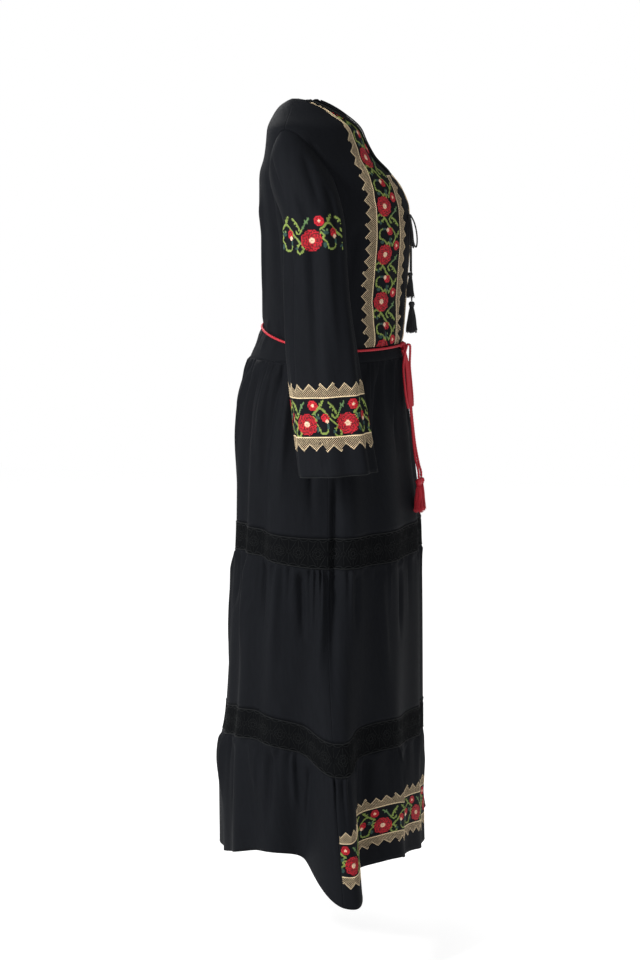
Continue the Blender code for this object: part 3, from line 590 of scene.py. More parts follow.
blackCotton = clothFinish("blackCotton", {
    "group": plainWeave, "dark": (0.0028, 0.0031, 0.0040), "light": (0.0078, 0.0087, 0.0110), "roughness": 0.74,
    "sheen": 0.004, "sheenTint": (0.75, 0.85, 1.0), "specular": 0.05, "crinkle": 1.0, "bump": 0.35, "bumpDistance": 0.0010})
laceCotton = clothFinish("laceCotton", {
    "group": threadFibres, "dark": (0.0030, 0.0034, 0.0037), "light": (0.0120, 0.0132, 0.0140), "roughness": 0.72,
    "sheen": 0.006, "sheenTint": (0.8, 0.9, 1.0), "specular": 0.12, "fineness": 1400.0, "bump": 0.30, "bumpDistance": 0.0004})
netCotton = clothFinish("netCotton", {
    "group": plainWeave, "dark": (0.0012, 0.0014, 0.0017), "light": (0.0036, 0.0040, 0.0048), "roughness": 0.88,
    "sheen": 0.003, "sheenTint": (0.8, 0.9, 1.0), "specular": 0.05, "crinkle": 1.0, "bump": 0.5, "bumpDistance": 0.0010})
stitchThread = clothFinish("stitchThread", {
    "group": threadFibres, "attribute": True, "dark": (0.62, 0.62, 0.62), "roughness": 0.55,
    "sheen": 0.02, "sheenTint": (1.0, 1.0, 1.0), "specular": 0.25, "fineness": 1600.0, "bump": 0.25, "bumpDistance": 0.0004})
redCord = clothFinish("redCordThread", {
    "group": threadFibres, "dark": (0.24, 0.004, 0.010), "light": (0.52, 0.012, 0.028), "roughness": 0.50,
    "sheen": 0.03, "sheenTint": (1.0, 0.6, 0.6), "specular": 0.35, "fineness": 1500.0, "bump": 0.30, "bumpDistance": 0.0004})
blackCord = clothFinish("blackCordThread", {
    "group": threadFibres, "dark": (0.0060, 0.0064, 0.0070), "light": (0.0190, 0.0200, 0.0220), "roughness": 0.65,
    "sheen": 0.015, "sheenTint": (0.8, 0.9, 1.0), "specular": 0.25, "fineness": 1500.0, "bump": 0.30, "bumpDistance": 0.0004})
print("stage: materials made")

# Cords, whose routes are those of the solids, in tenths of a millimetre
beltCordSettings = {"diameter": 0.0046, "tieAngle": math.radians(4.0), "pitch": 0.0105}
tieCordSettings = {"diameter": 0.0030, "pitch": 0.0070}
cordKinds = {"belt": (beltCordSettings, redCord, "red_cord"), "tie": (tieCordSettings, blackCord, "black_cord")}
beltLoop = 0.0001 * np.array((
    (-57, -1444, -4452), (-145, -1470, -4480), (-235, -1455, -4610), (-280, -1440, -4860),
    (-290, -1465, -5150), (-270, -1495, -5420), (-195, -1515, -5590), (-125, -1505, -5490),
    (-103, -1480, -5230), (-98, -1460, -4980), (-94, -1430, -4750), (-81, -1375, -4544),
))
beltTailRight = 0.0001 * np.array((
    (-29, -1371, -4560), (-31, -1425, -4750), (-34, -1465, -5050), (-36, -1510, -5500), (-40, -1560, -6000),
    (-60, -1620, -6500), (-80, -1685, -6760), (-85, -1696, -6900),
))
beltTailLeft = 0.0001 * np.array((
    (29, -1371, -4560), (31, -1425, -4750), (34, -1465, -5050), (36, -1510, -5500), (48, -1550, -5900),
    (90, -1590, -6300), (130, -1650, -6650), (140, -1688, -6790), (140, -1696, -6900),
))
tieLoop = 0.0001 * np.array((
    (-78, -1482, -2120), (-130, -1500, -2150), (-175, -1540, -2260), (-185, -1575, -2420),
    (-165, -1590, -2570), (-125, -1585, -2670), (-85, -1565, -2660), (-65, -1540, -2560),
    (-60, -1525, -2400), (-52, -1489, -2167),
))
tieTailRight = 0.0001 * np.array((
    (-17, -1482, -2173), (-18, -1502, -2350), (-20, -1512, -2600), (-30, -1508, -2850), (-40, -1508, -3020),
    (-40, -1508, -3120),
))
tieTailLeft = 0.0001 * np.array((
    (17, -1482, -2173), (18, -1502, -2350), (22, -1512, -2700), (50, -1510, -3100), (85, -1510, -3400),
    (90, -1510, -3560), (90, -1510, -3660),
))


def twistedTube(path, reference, diameter, pitch, sides=16):
    # Two plies laid round each other: the radius is largest on two opposite ridges that turn
    # once in each pitch along the path.
    side, up = sideVectors(path[None], reference)
    turn = fullTurn(sides)
    length = np.concatenate([[0.0], np.cumsum(np.linalg.norm(np.diff(path, axis=0), axis=1))])
    ridge = np.abs(np.cos(turn[None, :] - math.pi * 2.0 * length[:, None] / pitch))
    radius = 0.5 * diameter * (0.70 + 0.30 * ridge ** 0.8)
    ring = np.cos(turn)[:, None] * side[0][:, None, :] + np.sin(turn)[:, None] * up[0][:, None, :]
    points = path[:, None, :] + radius[..., None] * ring
    faces = gridQuads(len(path), sides, True)[:, ::-1].tolist()
    index = np.arange(len(path) * sides).reshape(len(path), sides)
    faces += [index[0].tolist(), index[-1, ::-1].tolist()]
    return points.reshape(-1, 3), faces


def cordPiece(name, route, mirror, kind, node):
    s, material, slot = cordKinds[kind]
    path, length = smoothRoute(route, 0.0011)
    path = path * np.array([mirror, 1.0, 1.0])
    points, faces = twistedTube(path, (0.0, 1.0, 0.0), s["diameter"], s["pitch"])
    return closedPiece(name, points, faces, material, slot, replaced=(node,)), path, length


def tassel(name, top, length, headRadius, skirtRadius, strands, material, slot, node):
    # Head: a surface of revolution with rings of wound thread. Skirt: strands that leave the head's
    # underside in a sunflower spiral, spread to the skirt's width and waver a little.
    top = np.array(top) - np.array([0.0, 0.0, 0.0007])
    headLength = 0.20 * length
    v = np.linspace(0.0, 1.0, 29)
    outline = headRadius * (0.42 + 0.62 * np.sin(np.pi * np.clip(v * 0.86 + 0.10, 0.0, 1.0)) ** 0.8)
    outline = np.where(v < 0.04, outline * 0.6, outline)
    wound = (v > 0.62) & (v < 0.92)
    outline = np.where(wound, 0.80 * headRadius + 0.10 * headRadius * np.abs(np.sin(v * 62.0)), outline)
    turn = fullTurn(24)
    fluted = 1.0 + np.where(wound, 0.0, 0.05)[:, None] * np.sin(8.0 * turn)[None, :]
    head = np.stack([outline[:, None] * fluted * np.cos(turn), outline[:, None] * fluted * np.sin(turn),
                     np.broadcast_to(-headLength * v[:, None], (29, 24))], axis=-1) + top
    index = np.arange(29 * 24).reshape(29, 24)
    faces = gridQuads(29, 24, True).tolist() + [index[0, ::-1].tolist(), index[-1].tolist()]
    order = np.arange(strands)
    share = np.sqrt((order + 0.5) / strands)
    around = order * 2.39996
    k = np.linspace(0.0, 1.0, 9)
    reach = 0.62 * headRadius * share[:, None] + (skirtRadius * 0.95 - 0.62 * headRadius) * share[:, None] * (
        k[None, :] ** 0.75)
    waver = 0.00055 * np.sin(9.0 * k[None, :] + order[:, None] * 1.7) * k[None, :]
    longer = length - headLength - 0.10 * length * rng.random(strands)
    paths = np.stack([reach * np.cos(around)[:, None] + waver, reach * np.sin(around)[:, None] + waver,
                      -headLength + 0.0006 - longer[:, None] * k[None, :]], axis=-1) + top
    out = np.stack([np.cos(around), np.sin(around), np.zeros(strands)], axis=-1)[:, None, :]
    thick = 0.00062 * (skirtRadius / 0.0096) ** 0.5
    points, faces = joined([(head.reshape(-1, 3), faces), tubes(paths, out, np.full((strands, 9), thick), 5)])
    return closedPiece(name, points, faces, material, slot, replaced=(node,))


def knotPiece(name, centre, size, thread, material, slot, node):
    # A cord tied in a closed threefold knot, flattened to the knot's size.
    t = fullTurn(120)
    knotted = np.stack([np.sin(t) + 2.0 * np.sin(2.0 * t), -0.9 * np.sin(3.0 * t), np.cos(t) - 2.0 * np.cos(2.0 * t)], -1)
    reach = np.array(size) - thread
    path = np.array(centre) + knotted / np.array([3.0, 0.9, 3.0]) * reach
    points, faces = tubes(path[None], (0.13, 1.0, 0.07), thread * (0.9 + 0.1 * np.abs(np.sin(9.0 * t))), 12, True)
    return closedPiece(name, points, faces, material, slot, replaced=(node,))


beltAngles = np.linspace(beltCordSettings["tieAngle"], 2.0 * math.pi - beltCordSettings["tieAngle"], 900)
beltPath = bodyPoint(beltAngles, beltHeight(beltAngles), False) + (
    0.5 * beltCordSettings["diameter"] + 0.0006) * bodyNormal(beltAngles, beltHeight(beltAngles))
points, faces = twistedTube(beltPath, (0.0, 0.0, 1.0), beltCordSettings["diameter"], beltCordSettings["pitch"])
closedPiece("beltCord", points, faces, redCord, "red_cord", replaced=("belt",))
knotPiece("beltKnot", (0.0, -0.1371, -0.4470), (0.0100, 0.0060, 0.0085), 0.0025, redCord, "red_cord", "belt_knot")
knotPiece("tieKnot", (0.0, -0.1482, -0.2120), (0.0065, 0.0036, 0.0050), 0.0016, blackCord, "black_cord", "tie_knot")
for label, mirror in (("Right", 1.0), ("Left", -1.0)):
    for kind, route in (("belt", beltLoop), ("tie", tieLoop)):
        piece, path, length = cordPiece(kind + "Loop" + label, route, mirror, kind, kind + "_loop_" + label.lower())
# The last column is the tassel: length, radius of head and skirt, strands
for kind, label, route, skirt in (
        ("belt", "Right", beltTailRight, (0.064, 0.0056, 0.0096, 64)),
        ("belt", "Left", beltTailLeft, (0.064, 0.0056, 0.0096, 64)),
        ("tie", "Right", tieTailRight, (0.048, 0.0042, 0.0080, 60)),
        ("tie", "Left", tieTailLeft, (0.0588, 0.0052, 0.0112, 84))):
    s, material, slot = cordKinds[kind]
    side = label.lower()
    hung = tassel(kind + "Tassel" + label, route[-1], *skirt, material, slot, kind + "_tassel_" + side)
    piece, path, length = cordPiece(kind + "Tail" + label, route, 1.0, kind, kind + "_tail_" + side)
print("stage: cords and tassels made")


# Cloth panels, each on its solid's outer face

sheetSettings = {"wall": 0.0012, "bodiceColumns": 54, "skirtColumns": 400, "sleeveColumns": 92}


def bodiceHeights():
    lower = np.linspace(seams["bodiceEnd"] - 0.0002, armhole["bottom"], 60)
    rounded = armMiddle + armHalf * np.cos(np.linspace(math.pi, 0.0, 38))[1:]
    return np.concatenate([lower, rounded, np.linspace(armhole["top"], -0.0006, 18)[1:]])[::-1]


def neckEdge(neck, z):
    # Angle of the neck's edge from the centre line, none below the neck's lowest point.
    opening = np.where(z < neck[-1][0], 0.0, tableCurve(neck, 1, z))
    return np.arcsin(np.clip(opening / tableCurve(bodyForm, halfWidth, z), 0.0, 1.0))


def bodiceHalf(neck, reach, centre, direction, centreGap):
    # Columns run from the centre line or the neck's edge to the side seam or the armhole's edge.
    z = bodiceHeights()
    roundArmhole = np.clip((z - armMiddle) / armHalf, -1.0, 1.0)
    far = 0.5 * math.pi - reach * np.sqrt(1.0 - roundArmhole ** 2)
    near = np.minimum(neckEdge(neck, z) + centreGap / tableCurve(bodyForm, halfWidth, z), far - 0.01)
    share = np.linspace(0.0, 1.0, sheetSettings["bodiceColumns"])
    angle = near[:, None] + (far - near)[:, None] * share
    return makeSurface(bodyPoint(centre + direction * angle, z[:, None]))


for label, direction in (("Right", 1.0), ("Left", -1.0)):
    surface = bodiceHalf(neckFront, armhole["front"], 0.0, direction, 0.00015)
    clothPiece("bodiceFront" + label, surface, blackCotton, "black_cotton", sheetSettings["wall"],
               ("bodice_front_" + label.lower(),))
backHalves = [bodiceHalf(neckBack, armhole["back"], math.pi, -1.0, 0.0),
              bodiceHalf(neckBack, armhole["back"], math.pi, 1.0, 0.0)]


def backPiece():
    # Both halves as one mesh, sewn together down the middle before the wall is added.
    points, uv, faces, start = [], [], [], 0
    for sign, surface in zip((-1.0, 1.0), backHalves):
        flat = surface["points"].reshape(-1, 3)
        quads = gridQuads(*surface["points"].shape[:2])
        if not facesOut(flat, quads, surface["normals"].reshape(-1, 3)):
            quads = quads[:, ::-1]
        points.append(flat)
        uv.append(np.stack([sign * surface["arc"], surface["down"]], axis=-1).reshape(-1, 2))
        faces.append(quads + start)
        start += len(flat)
    piece = makePiece("bodiceBack", np.vstack(points), np.vstack(faces), blackCotton, "black_cotton",
                      uv=np.vstack(uv), replaced=("bodice_back",))
    bm = bmesh.new()
    bm.from_mesh(piece.data)
    bmesh.ops.remove_doubles(bm, verts=bm.verts, dist=2e-5)
    bm.to_mesh(piece.data)
    bm.free()
    return addWall(piece, sheetSettings["wall"])


bodiceBack = backPiece()


def crowdedAngles(first, last, count):
    # Angles whose steps shrink on the two deep side folds, so that the points lie evenly on the cloth.
    fine = np.linspace(first, last, 1441)
    crowd = np.ones_like(fine)
    for fold in hangingFolds:
        if fold[3] > 0.05:
            crowd += 1.7 * np.exp(-((angleBetween(fine, math.radians(fold[0])) / 0.20) ** 2))
    total = np.concatenate([[0.0], np.cumsum(0.5 * (crowd[1:] + crowd[:-1]))])
    return np.interp(np.linspace(0.0, total[-1], count + 1), total, fine)


def skirtPanel(top, bottom, rows, first, last, crowd):
    count = round(sheetSettings["skirtColumns"] * (last - first) / (2.0 * math.pi))
    gap = 0.0002
    end = bottom if bottom == seams["hem"] else bottom + gap
    z = (top - gap) + (end - (top - gap)) * np.linspace(0.0, 1.0, rows) ** crowd
    angle = crowdedAngles(first, last, count)
    return makeSurface(bodyPoint(angle[None, :], z[:, None])), angle, z


# Top, bottom, rows, and how strongly the rows crowd under the upper seam
skirtRings = {
    "tier1": (seams["bodiceEnd"], seams["lace1"][0], 50, 1.25), "lace1": (*seams["lace1"], 11, 1.0),
    "tier2": (seams["lace1"][1], seams["lace2"][0], 48, 1.25), "lace2": (*seams["lace2"], 11, 1.0),
    "tier3": (seams["lace2"][1], seams["hem"], 38, 1.15),
}
panels = {}
for name, (top, bottom, rows, crowd) in skirtRings.items():
    isLace = name.startswith("lace")
    side = seams["panelAngle"]
    for label, first, last in (("Front", -side, side), ("Back", side, 2.0 * math.pi - side)):
        surface, angle, z = skirtPanel(top, bottom, rows, first, last, crowd)
        piece = clothPiece(name + label, surface, netCotton if isLace else blackCotton,
                           "black_lace" if isLace else "black_cotton", sheetSettings["wall"],
                           ("%s_%s_%s" % (name[:-1], name[-1], label.lower()),))
        panels[name + label] = {"surface": surface, "angle": angle, "z": z, "piece": piece}
print("stage: bodice and skirt made")


def sleeveSection(table, angle, z):
    # Level sections with seven soft long folds that grow towards the cuff, the cuff higher in front.
    out, fore, halfOut, halfFore = (tableCurve(table, column, z) for column in (1, 2, 3, 4))
    lower = smoothStep(-0.240, -0.640, z)
    ripple = 0.0006 + 0.0028 * lower
    fold = 1.0 + ripple / 0.055 * np.sin(7.0 * angle + 0.6 * np.sin(angle) + 5.0 * z)
    x = -(out + halfOut * fold * np.sin(angle))
    y = -(fore + halfFore * fold * np.cos(angle))
    return np.stack([x, y, z + cuffRise * lower * halfFore * np.cos(angle)], axis=-1)


def armholeLoop(angle, inside, lift):
    reach = np.where(np.cos(angle) > 0.0, armhole["front"], armhole["back"])
    z = armMiddle + (armHalf - inside) * np.sin(angle)
    theta = 0.5 * math.pi - (reach - inside / 0.18) * np.cos(angle)
    return bodyPoint(theta, z, False) + lift * bodyNormal(theta, z)


def sleeveSurface(table, side, turned):
    # First a narrow seam allowance under the bodice's edge. Cap: cubic curves from the armhole's
    # edge down into the tube. Below it: level sections.
    count = sheetSettings["sleeveColumns"]
    angle = fullTurn(count)
    top, bottom = table[0][0], table[-1][0]
    start = armholeLoop(angle, 0.0009, 0.0004)
    end = sleeveSection(table, angle, np.full(count, top))
    above = sleeveSection(table, angle, np.full(count, top + 0.01))
    chord = np.linalg.norm(end - start, axis=-1, keepdims=True)
    leave = unit(np.stack([np.full(count, -0.85), -0.30 * np.cos(angle), -0.20 - 0.45 * np.sin(angle) ** 2], -1))
    arrive = unit(end - above + np.array([0.0, 0.0, -0.010]))
    t = np.linspace(0.0, 1.0, 28)[:, None, None]
    allowance = np.stack([armholeLoop(angle, -0.0060, -0.0024), armholeLoop(angle, -0.0004, -0.0020)])
    cap = hermite(t, start, end, chord * leave, chord * arrive)
    z = np.linspace(top, bottom, 68)[1:]
    tube = sleeveSection(table, angle[None, :], z[:, None])
    points = np.concatenate([allowance, cap, tube])
    v = np.concatenate([[0.0, 0.0], t[:, 0, 0], 1.0 + (z - top) / (bottom - top)])
    plain = makeSurface(points * np.array([side, 1.0, 1.0]), True, np.array([side * -0.245, -0.04, -0.35]))
    push = creaseDepth["sleeve"] * creasePush(angle[None, :] + turned, v[:, None], sleeveCreases)
    push = np.concatenate([push, push[:, :1]], axis=1)
    creased = plain["points"] + push[..., None] * plain["normals"]
    surface = makeSurface(creased[:, :-1], True, np.array([side * -0.245, -0.04, -0.35]))
    surface["capRows"] = 29
    surface["z"] = np.concatenate([np.full(30, top), z])
    return surface


def orientSleeve(surface):
    # Turns the normals away from the sleeve's own middle, row by row.
    p = surface["points"]
    middle = p[:, :-1].mean(axis=1, keepdims=True)
    if np.sum(surface["normals"] * (p - middle)) < 0.0:
        surface["normals"] = -surface["normals"]
    return surface


sleeves = {}
for label, table, side, turned in (("Right", sleeveRight, 1.0, 0.0), ("Left", sleeveLeft, -1.0, 0.3)):
    surface = orientSleeve(sleeveSurface(table, side, turned))
    piece = clothPiece("sleeve" + label, surface, blackCotton, "black_cotton", sheetSettings["wall"],
                       ("sleeve_" + label.lower(),))
    sleeves[label] = {"surface": surface, "piece": piece, "side": side}
print("stage: sleeves made")


# Cross-stitch: charts of coloured squares, laid on the cloth as small raised stitches

stitchSettings = {"cell": 0.00195, "height": 0.00055, "fill": 0.95, "latticeFill": 0.72, "wander": 0.05, "shade": 0.10,
                  "bandCells": 35, "period": 46, "toothPitch": 11.5, "toothTip": 13, "toothBase": 6.8}
threadColours = {  # linear red, green, blue
    "red": (0.52, 0.007, 0.020), "deep": (0.13, 0.003, 0.007), "cream": (0.82, 0.58, 0.40),
    "gold": (0.84, 0.65, 0.40), "olive": (0.215, 0.29, 0.058), "teal": (0.018, 0.060, 0.050),
    "moss": (0.12, 0.22, 0.080), "bright": (0.88, 0.69, 0.43),
}
threadNames = ["none"] + list(threadColours)


def thread(name):
    return threadNames.index(name)


# Tendrils and leaves of one repeat: thread, half width, points along and across, in squares
# from the middle of the big rose; along is towards the small rose, across is away from it
tendrils = (
    ("olive", 0.8, ((8.0, -9.5), (12.0, -12.0), (15.0, -14.5), (19.0, -14.0), (23.5, -10.0), (27.5, -4.5), (32.0, -1.0), (35.5, 2.5))),
    ("olive", 0.6, ((14.0, -14.0), (17.5, -17.5), (21.5, -21.5))),
    ("olive", 0.6, ((16.5, -18.5), (18.5, -17.0))),
    ("olive", 0.6, ((19.0, -20.8), (20.8, -19.0))),
    ("olive", 0.7, ((8.5, -6.5), (11.5, -4.0), (9.8, -1.5), (12.5, 1.0), (14.8, 5.0), (16.0, 8.0), (20.0, 8.6), (23.5, 7.0), (24.5, 3.5))),
    ("moss", 0.6, ((10.0, -9.0), (13.0, -6.5), (14.5, -8.5))),
    ("olive", 0.9, ((27.5, -19.5), (31.0, -16.5), (33.6, -12.5), (34.6, -9.5))),
    ("olive", 0.6, ((29.0, -15.6), (30.6, -16.6))),
    ("olive", 0.6, ((30.8, -12.8), (32.6, -14.0))),
    ("olive", 0.8, ((30.2, -8.4), (31.5, -6.4), (34.0, -6.0), (36.0, -7.6), (37.4, -10.0))),
    ("moss", 0.6, ((38.0, -10.5), (40.5, -15.0), (44.5, -19.5))),
    ("moss", 0.6, ((41.0, -17.8), (42.8, -15.6))),
    ("olive", 0.8, ((32.5, 5.0), (31.0, 8.0), (33.0, 11.0), (36.4, 10.8), (38.2, 8.0), (37.2, 5.0))),
    ("olive", 0.6, ((31.5, 4.0), (34.2, 3.2))),
)
leafPatches = (("teal", 13.5, -6.0, 2.6, 1.6), ("teal", 24.6, 1.8, 1.4, 2.4), ("teal", 12.2, 4.6, 1.6, 2.6),
               ("teal", 30.5, 6.8, 1.8, 1.2))
roseSettings = {"big": 10.0, "small": 4.9, "smallAlong": 8.0, "smallAcross": -17.0,
                "budAlong": 22.0, "budAcross": -6.0, "bud": 3.7}


def strokeMask(s, t, points, halfWide):
    # Squares whose middle lies within a half width of a smooth curve through the points.
    curve, _ = smoothRoute([(a, b, 0.0) for a, b in points], 0.4)
    distance = np.hypot(s[..., None] - curve[:, 0], t[..., None] - curve[:, 1]).min(axis=-1)
    return distance < halfWide + 0.12


def paintRose(chart, s, t, radius):
    # Scalloped disc with rings of darker petals and a pale middle.
    r, turn = np.hypot(s, t), np.arctan2(t, s)
    lobes = 9 if radius > 6.0 else 6
    inside = r < radius * (0.96 + 0.04 * np.cos(lobes * turn))
    chart[inside] = thread("red")
    if radius > 6.0:
        for share, phase in ((0.83, 0.0), (0.66, math.pi), (0.50, 0.0), (0.36, math.pi)):
            ring = np.abs(r - radius * (share + 0.045 * np.cos(lobes * turn + phase))) < 0.48
            chart[ring & (np.cos(lobes * turn + phase) > -0.45) & inside] = thread("deep")
        chart[(np.abs(np.sin(0.5 * lobes * turn)) < 0.10) & (r > 0.62 * radius) & inside] = thread("deep")
    else:
        chart[(np.abs(r - 0.62 * radius) < 0.42) & (np.cos(lobes * turn) > 0.0)] = thread("deep")
    chart[r < 0.245 * radius + 0.15] = thread("cream")
    if radius > 6.0:
        chart[r < 0.55] = thread("gold")


def paintMotif(chart, s, t, period, roses=(0,)):
    # One repeat at each place in roses, the parts between two roses drawn nearer to fit the period.
    shrink = period / stitchSettings["period"]
    c = roseSettings
    for number in roses:
        here = s - number * period
        between = here / shrink
        for colour, halfWide, points in tendrils:
            chart[strokeMask(between, t, points, halfWide)] = thread(colour)
        for colour, along, across, wide, high in leafPatches:
            chart[((between - along) / wide) ** 2 + ((t - across) / high) ** 2 < 1.0] = thread(colour)
        bs, bt = here - c["budAlong"] * shrink, t - c["budAcross"]
        bud = (bs / c["bud"]) ** 2 + (bt / (c["bud"] * 1.12)) ** 2 < 1.0
        chart[bud] = thread("red")
        chart[bud & (np.abs(np.hypot(bs, bt) - 2.0) < 0.45) & (bt < 0.5)] = thread("deep")
        tip = (np.abs(bs - 1.6) + np.abs(bt - 3.4) < 2.3) & (bt > 1.6)
        chart[tip] = thread("cream")


def paintRoses(chart, s, t, period, roses):
    for number in roses:
        here = s - number * period
        paintRose(chart, here - roseSettings["smallAlong"] * min(1.0, period / 42.0), t - roseSettings["smallAcross"],
                  roseSettings["small"])
        paintRose(chart, here, t, roseSettings["big"])


def toothMask(depth, along):
    # Every other square inside teeth that stand on the line, and its outermost squares.
    c = stitchSettings
    half = 0.5 * c["toothPitch"]
    edge = c["toothTip"] - (c["toothTip"] - c["toothBase"]) * np.abs((along % c["toothPitch"]) - half) / half
    inside = (depth >= 1) & (depth <= edge + 0.4)
    lattice = (depth + np.round(along).astype(int)) % 2 == 0
    return inside & lattice, inside & lattice & (depth > edge - 1.4)


def stripChart(s, across, period, roses):
    # across counts squares from the upper (or inner) tips; the lines stand at toothTip and
    # toothTip + bandCells + 1.
    c = stitchSettings
    chart = np.zeros(np.broadcast(s, across).shape, int)
    s, across = np.broadcast_arrays(s, across)
    first = c["toothTip"]
    second = first + c["bandCells"] + 1
    t = across - first - 0.69 * c["bandCells"]
    paintMotif(chart, s.astype(float), t.astype(float), period, roses)
    paintRoses(chart, s.astype(float), t.astype(float), period, roses)
    chart[(across <= first) | (across >= second)] = 0
    for depth in (first - across, across - second):
        mask, edge = toothMask(depth, np.round(s).astype(int))
        chart[mask] = thread("gold")
        chart[edge] = thread("bright")
    chart[(across == first) | (across == second)] = thread("bright")
    return chart


def layStitches(name, points, normals, chart):
    # Each coloured square of the lattice of points becomes a low pyramid whose four ridges read
    # as the stitch's cross. Shades wander a little from stitch to stitch.
    c = stitchSettings
    used = chart > 0
    corners = np.stack([points[:-1, :-1], points[:-1, 1:], points[1:, 1:], points[1:, :-1]], axis=2)[used]
    normal = unit(normals[:-1, :-1] + normals[1:, 1:])[used]
    centre = corners.mean(axis=1, keepdims=True)
    jitter = 1.0 + c["wander"] * (rng.random((len(corners), 4, 1)) - 0.5)
    fill = np.where(np.isin(chart[used], (thread("gold"),)), c["latticeFill"], c["fill"])[:, None, None]
    base = centre + fill * jitter * (corners - centre) + 0.00012 * normal[:, None]
    peak = centre + c["height"] * (0.85 + 0.3 * rng.random((len(corners), 1, 1))) * normal[:, None]
    vertices = np.concatenate([base, peak], axis=1).reshape(-1, 3)
    start = 5 * np.arange(len(corners))[:, None, None]
    triangles = (np.array([[0, 1, 4], [1, 2, 4], [2, 3, 4], [3, 0, 4]])[None] + start).reshape(-1, 3)
    if not facesOut(vertices, triangles, np.repeat(normal, 5, axis=0)):
        triangles = triangles[:, ::-1]
    table = np.array([(0.0, 0.0, 0.0)] + list(threadColours.values()))
    colour = table[chart[used]] * (1.0 + c["shade"] * rng.standard_normal((len(corners), 1)))
    colour = np.repeat(np.clip(colour, 0.0, 1.0), 5, axis=0)
    piece = makePiece(name, vertices, triangles, stitchThread, "black_cotton", colours=colour, smooth=False)
    print("stitches", name, len(corners))
    return piece


def latticeDown(surface, rows, arcs):
    # A lattice whose rows lie on the surface's float rows, each at its own arc lengths.
    floor = np.clip(np.floor(rows).astype(int), 0, len(surface["arc"]) - 2)
    part = (rows - floor)[:, None]
    arcAt = (1 - part) * surface["arc"][floor] + part * surface["arc"][floor + 1]
    columns = np.array([np.interp(a, line, np.arange(len(line))) for a, line in zip(arcs, arcAt)])
    return onSurface(surface, rows[:, None], columns)


def latticeRound(surface, columns, downs, reference):
    # A lattice whose columns lie on the surface's float columns, each at its own depths below
    # the reference row.
    floor = np.clip(np.floor(columns).astype(int), 0, surface["down"].shape[1] - 2)
    part = columns - floor
    downAt = (1 - part) * surface["down"][:, floor] + part * surface["down"][:, floor + 1]
    count = np.arange(len(downAt))
    rows = np.array([np.interp(d + np.interp(r, count, line), line, count)
                     for d, r, line in zip(downs, reference, downAt.T)])
    return onSurface(surface, rows, columns[:, None])


# Bands down both sides of the front's slit
frontBand = {
    "fieldAngle": math.radians(84.0),
    # z and arc from the centre line of the outer gold line
    "outerLine": np.array(((-0.447, 0.1010), (-0.440, 0.1020), (-0.360, 0.1157), (-0.180, 0.1155), (-0.150, 0.1080),
                           (-0.123, 0.0965), (-0.090, 0.0850), (-0.020, 0.0870), (-0.008, 0.0870))),
    # squares down from the rose nearest the shoulder, and their z
    "roseZ": ((-46, -0.019), (0, -0.105), (46, -0.191), (92, -0.277), (138, -0.361), (184, -0.447)),
    "innerFrom": -0.139,
    "topNarrow": 0.35,       # width of the outer teeth near the shoulder, where the line runs aslant
}


def frontStitches(label, direction):
    c, s = frontBand, stitchSettings
    z = np.linspace(-0.006, -0.458, 150)
    angle = np.linspace(0.0, c["fieldAngle"], 96)
    field = makeSurface(bodyPoint(direction * angle[None, :], z[:, None]))
    number = np.arange(-52, 184)
    atZ = np.interp(np.arange(-52, 185) - 0.5, [k for k, _ in c["roseZ"]], [v for _, v in c["roseZ"]])
    atZ = np.where(np.arange(-52, 185) < -46, -0.019 + (np.arange(-52, 185) + 46) * -0.00187, atZ)
    rows = np.interp(-atZ, -z, np.arange(150))
    total = 2 * s["toothTip"] + s["bandCells"] + 2
    outer = np.interp(atZ, c["outerLine"][:, 0], c["outerLine"][:, 1])
    step = np.arange(total + 1)[None, :] - (total - s["toothTip"] - 0.5)
    narrowed = c["topNarrow"] + (1.0 - c["topNarrow"]) * smoothStep(-0.030, -0.105, atZ)[:, None]
    arcs = outer[:, None] + s["cell"] * step * np.where(step > 0.0, narrowed, 1.0)
    points, normals = latticeDown(field, rows, arcs)
    across = np.arange(total)[None, :]
    chart = stripChart(-number[:, None], across, s["period"], (-4, -3, -2, -1, 0, 1, 2))
    middleZ, middleArc = 0.5 * (atZ[1:] + atZ[:-1])[:, None], 0.5 * (arcs[1:, 1:] + arcs[:-1, :-1])
    floorRow = np.interp(-middleZ[:, 0], -z, np.arange(150))
    edgeAngle = neckEdge(neckFront, middleZ[:, 0])
    edgeColumn = edgeAngle / c["fieldAngle"] * 95
    edgeArc = np.array([np.interp(col, np.arange(96), field["arc"][int(r)]) for col, r in zip(edgeColumn, floorRow)])
    inner = across <= s["toothTip"]
    chart[inner & (middleZ > c["innerFrom"])] = 0
    top = int(np.argmin(np.abs(middleZ[:, 0] - c["innerFrom"])))
    chart[top, :s["toothTip"] + 1] = thread("bright")
    chart[middleArc < (edgeArc + 0.0112)[:, None]] = 0
    chart[middleZ[:, 0] < beltHeight(0.6) + 0.0045] = 0
    return layStitches("frontBand" + label, points, normals, chart)


stitched = {}
for label, direction in (("Right", 1.0), ("Left", -1.0)):
    stitched["front" + label] = frontStitches(label, direction)

# Band round each cuff and spray round each upper arm
cuffBand = {"roseAngle": math.radians(118.0), "period": 38.5, "upperLine": -0.512, "lowerLine": -0.5755}
armSpray = {"roseAngle": math.radians(86.0), "roseZ": -0.2445, "fromAngle": math.radians(-6.0),
            "toAngle": math.radians(186.0), "tilt": 0.055}


def arcAtAngle(surface, row, angle):
    count = surface["arc"].shape[1]
    return np.interp(angle, np.linspace(0.0, 2.0 * math.pi, count), surface["arc"][row])


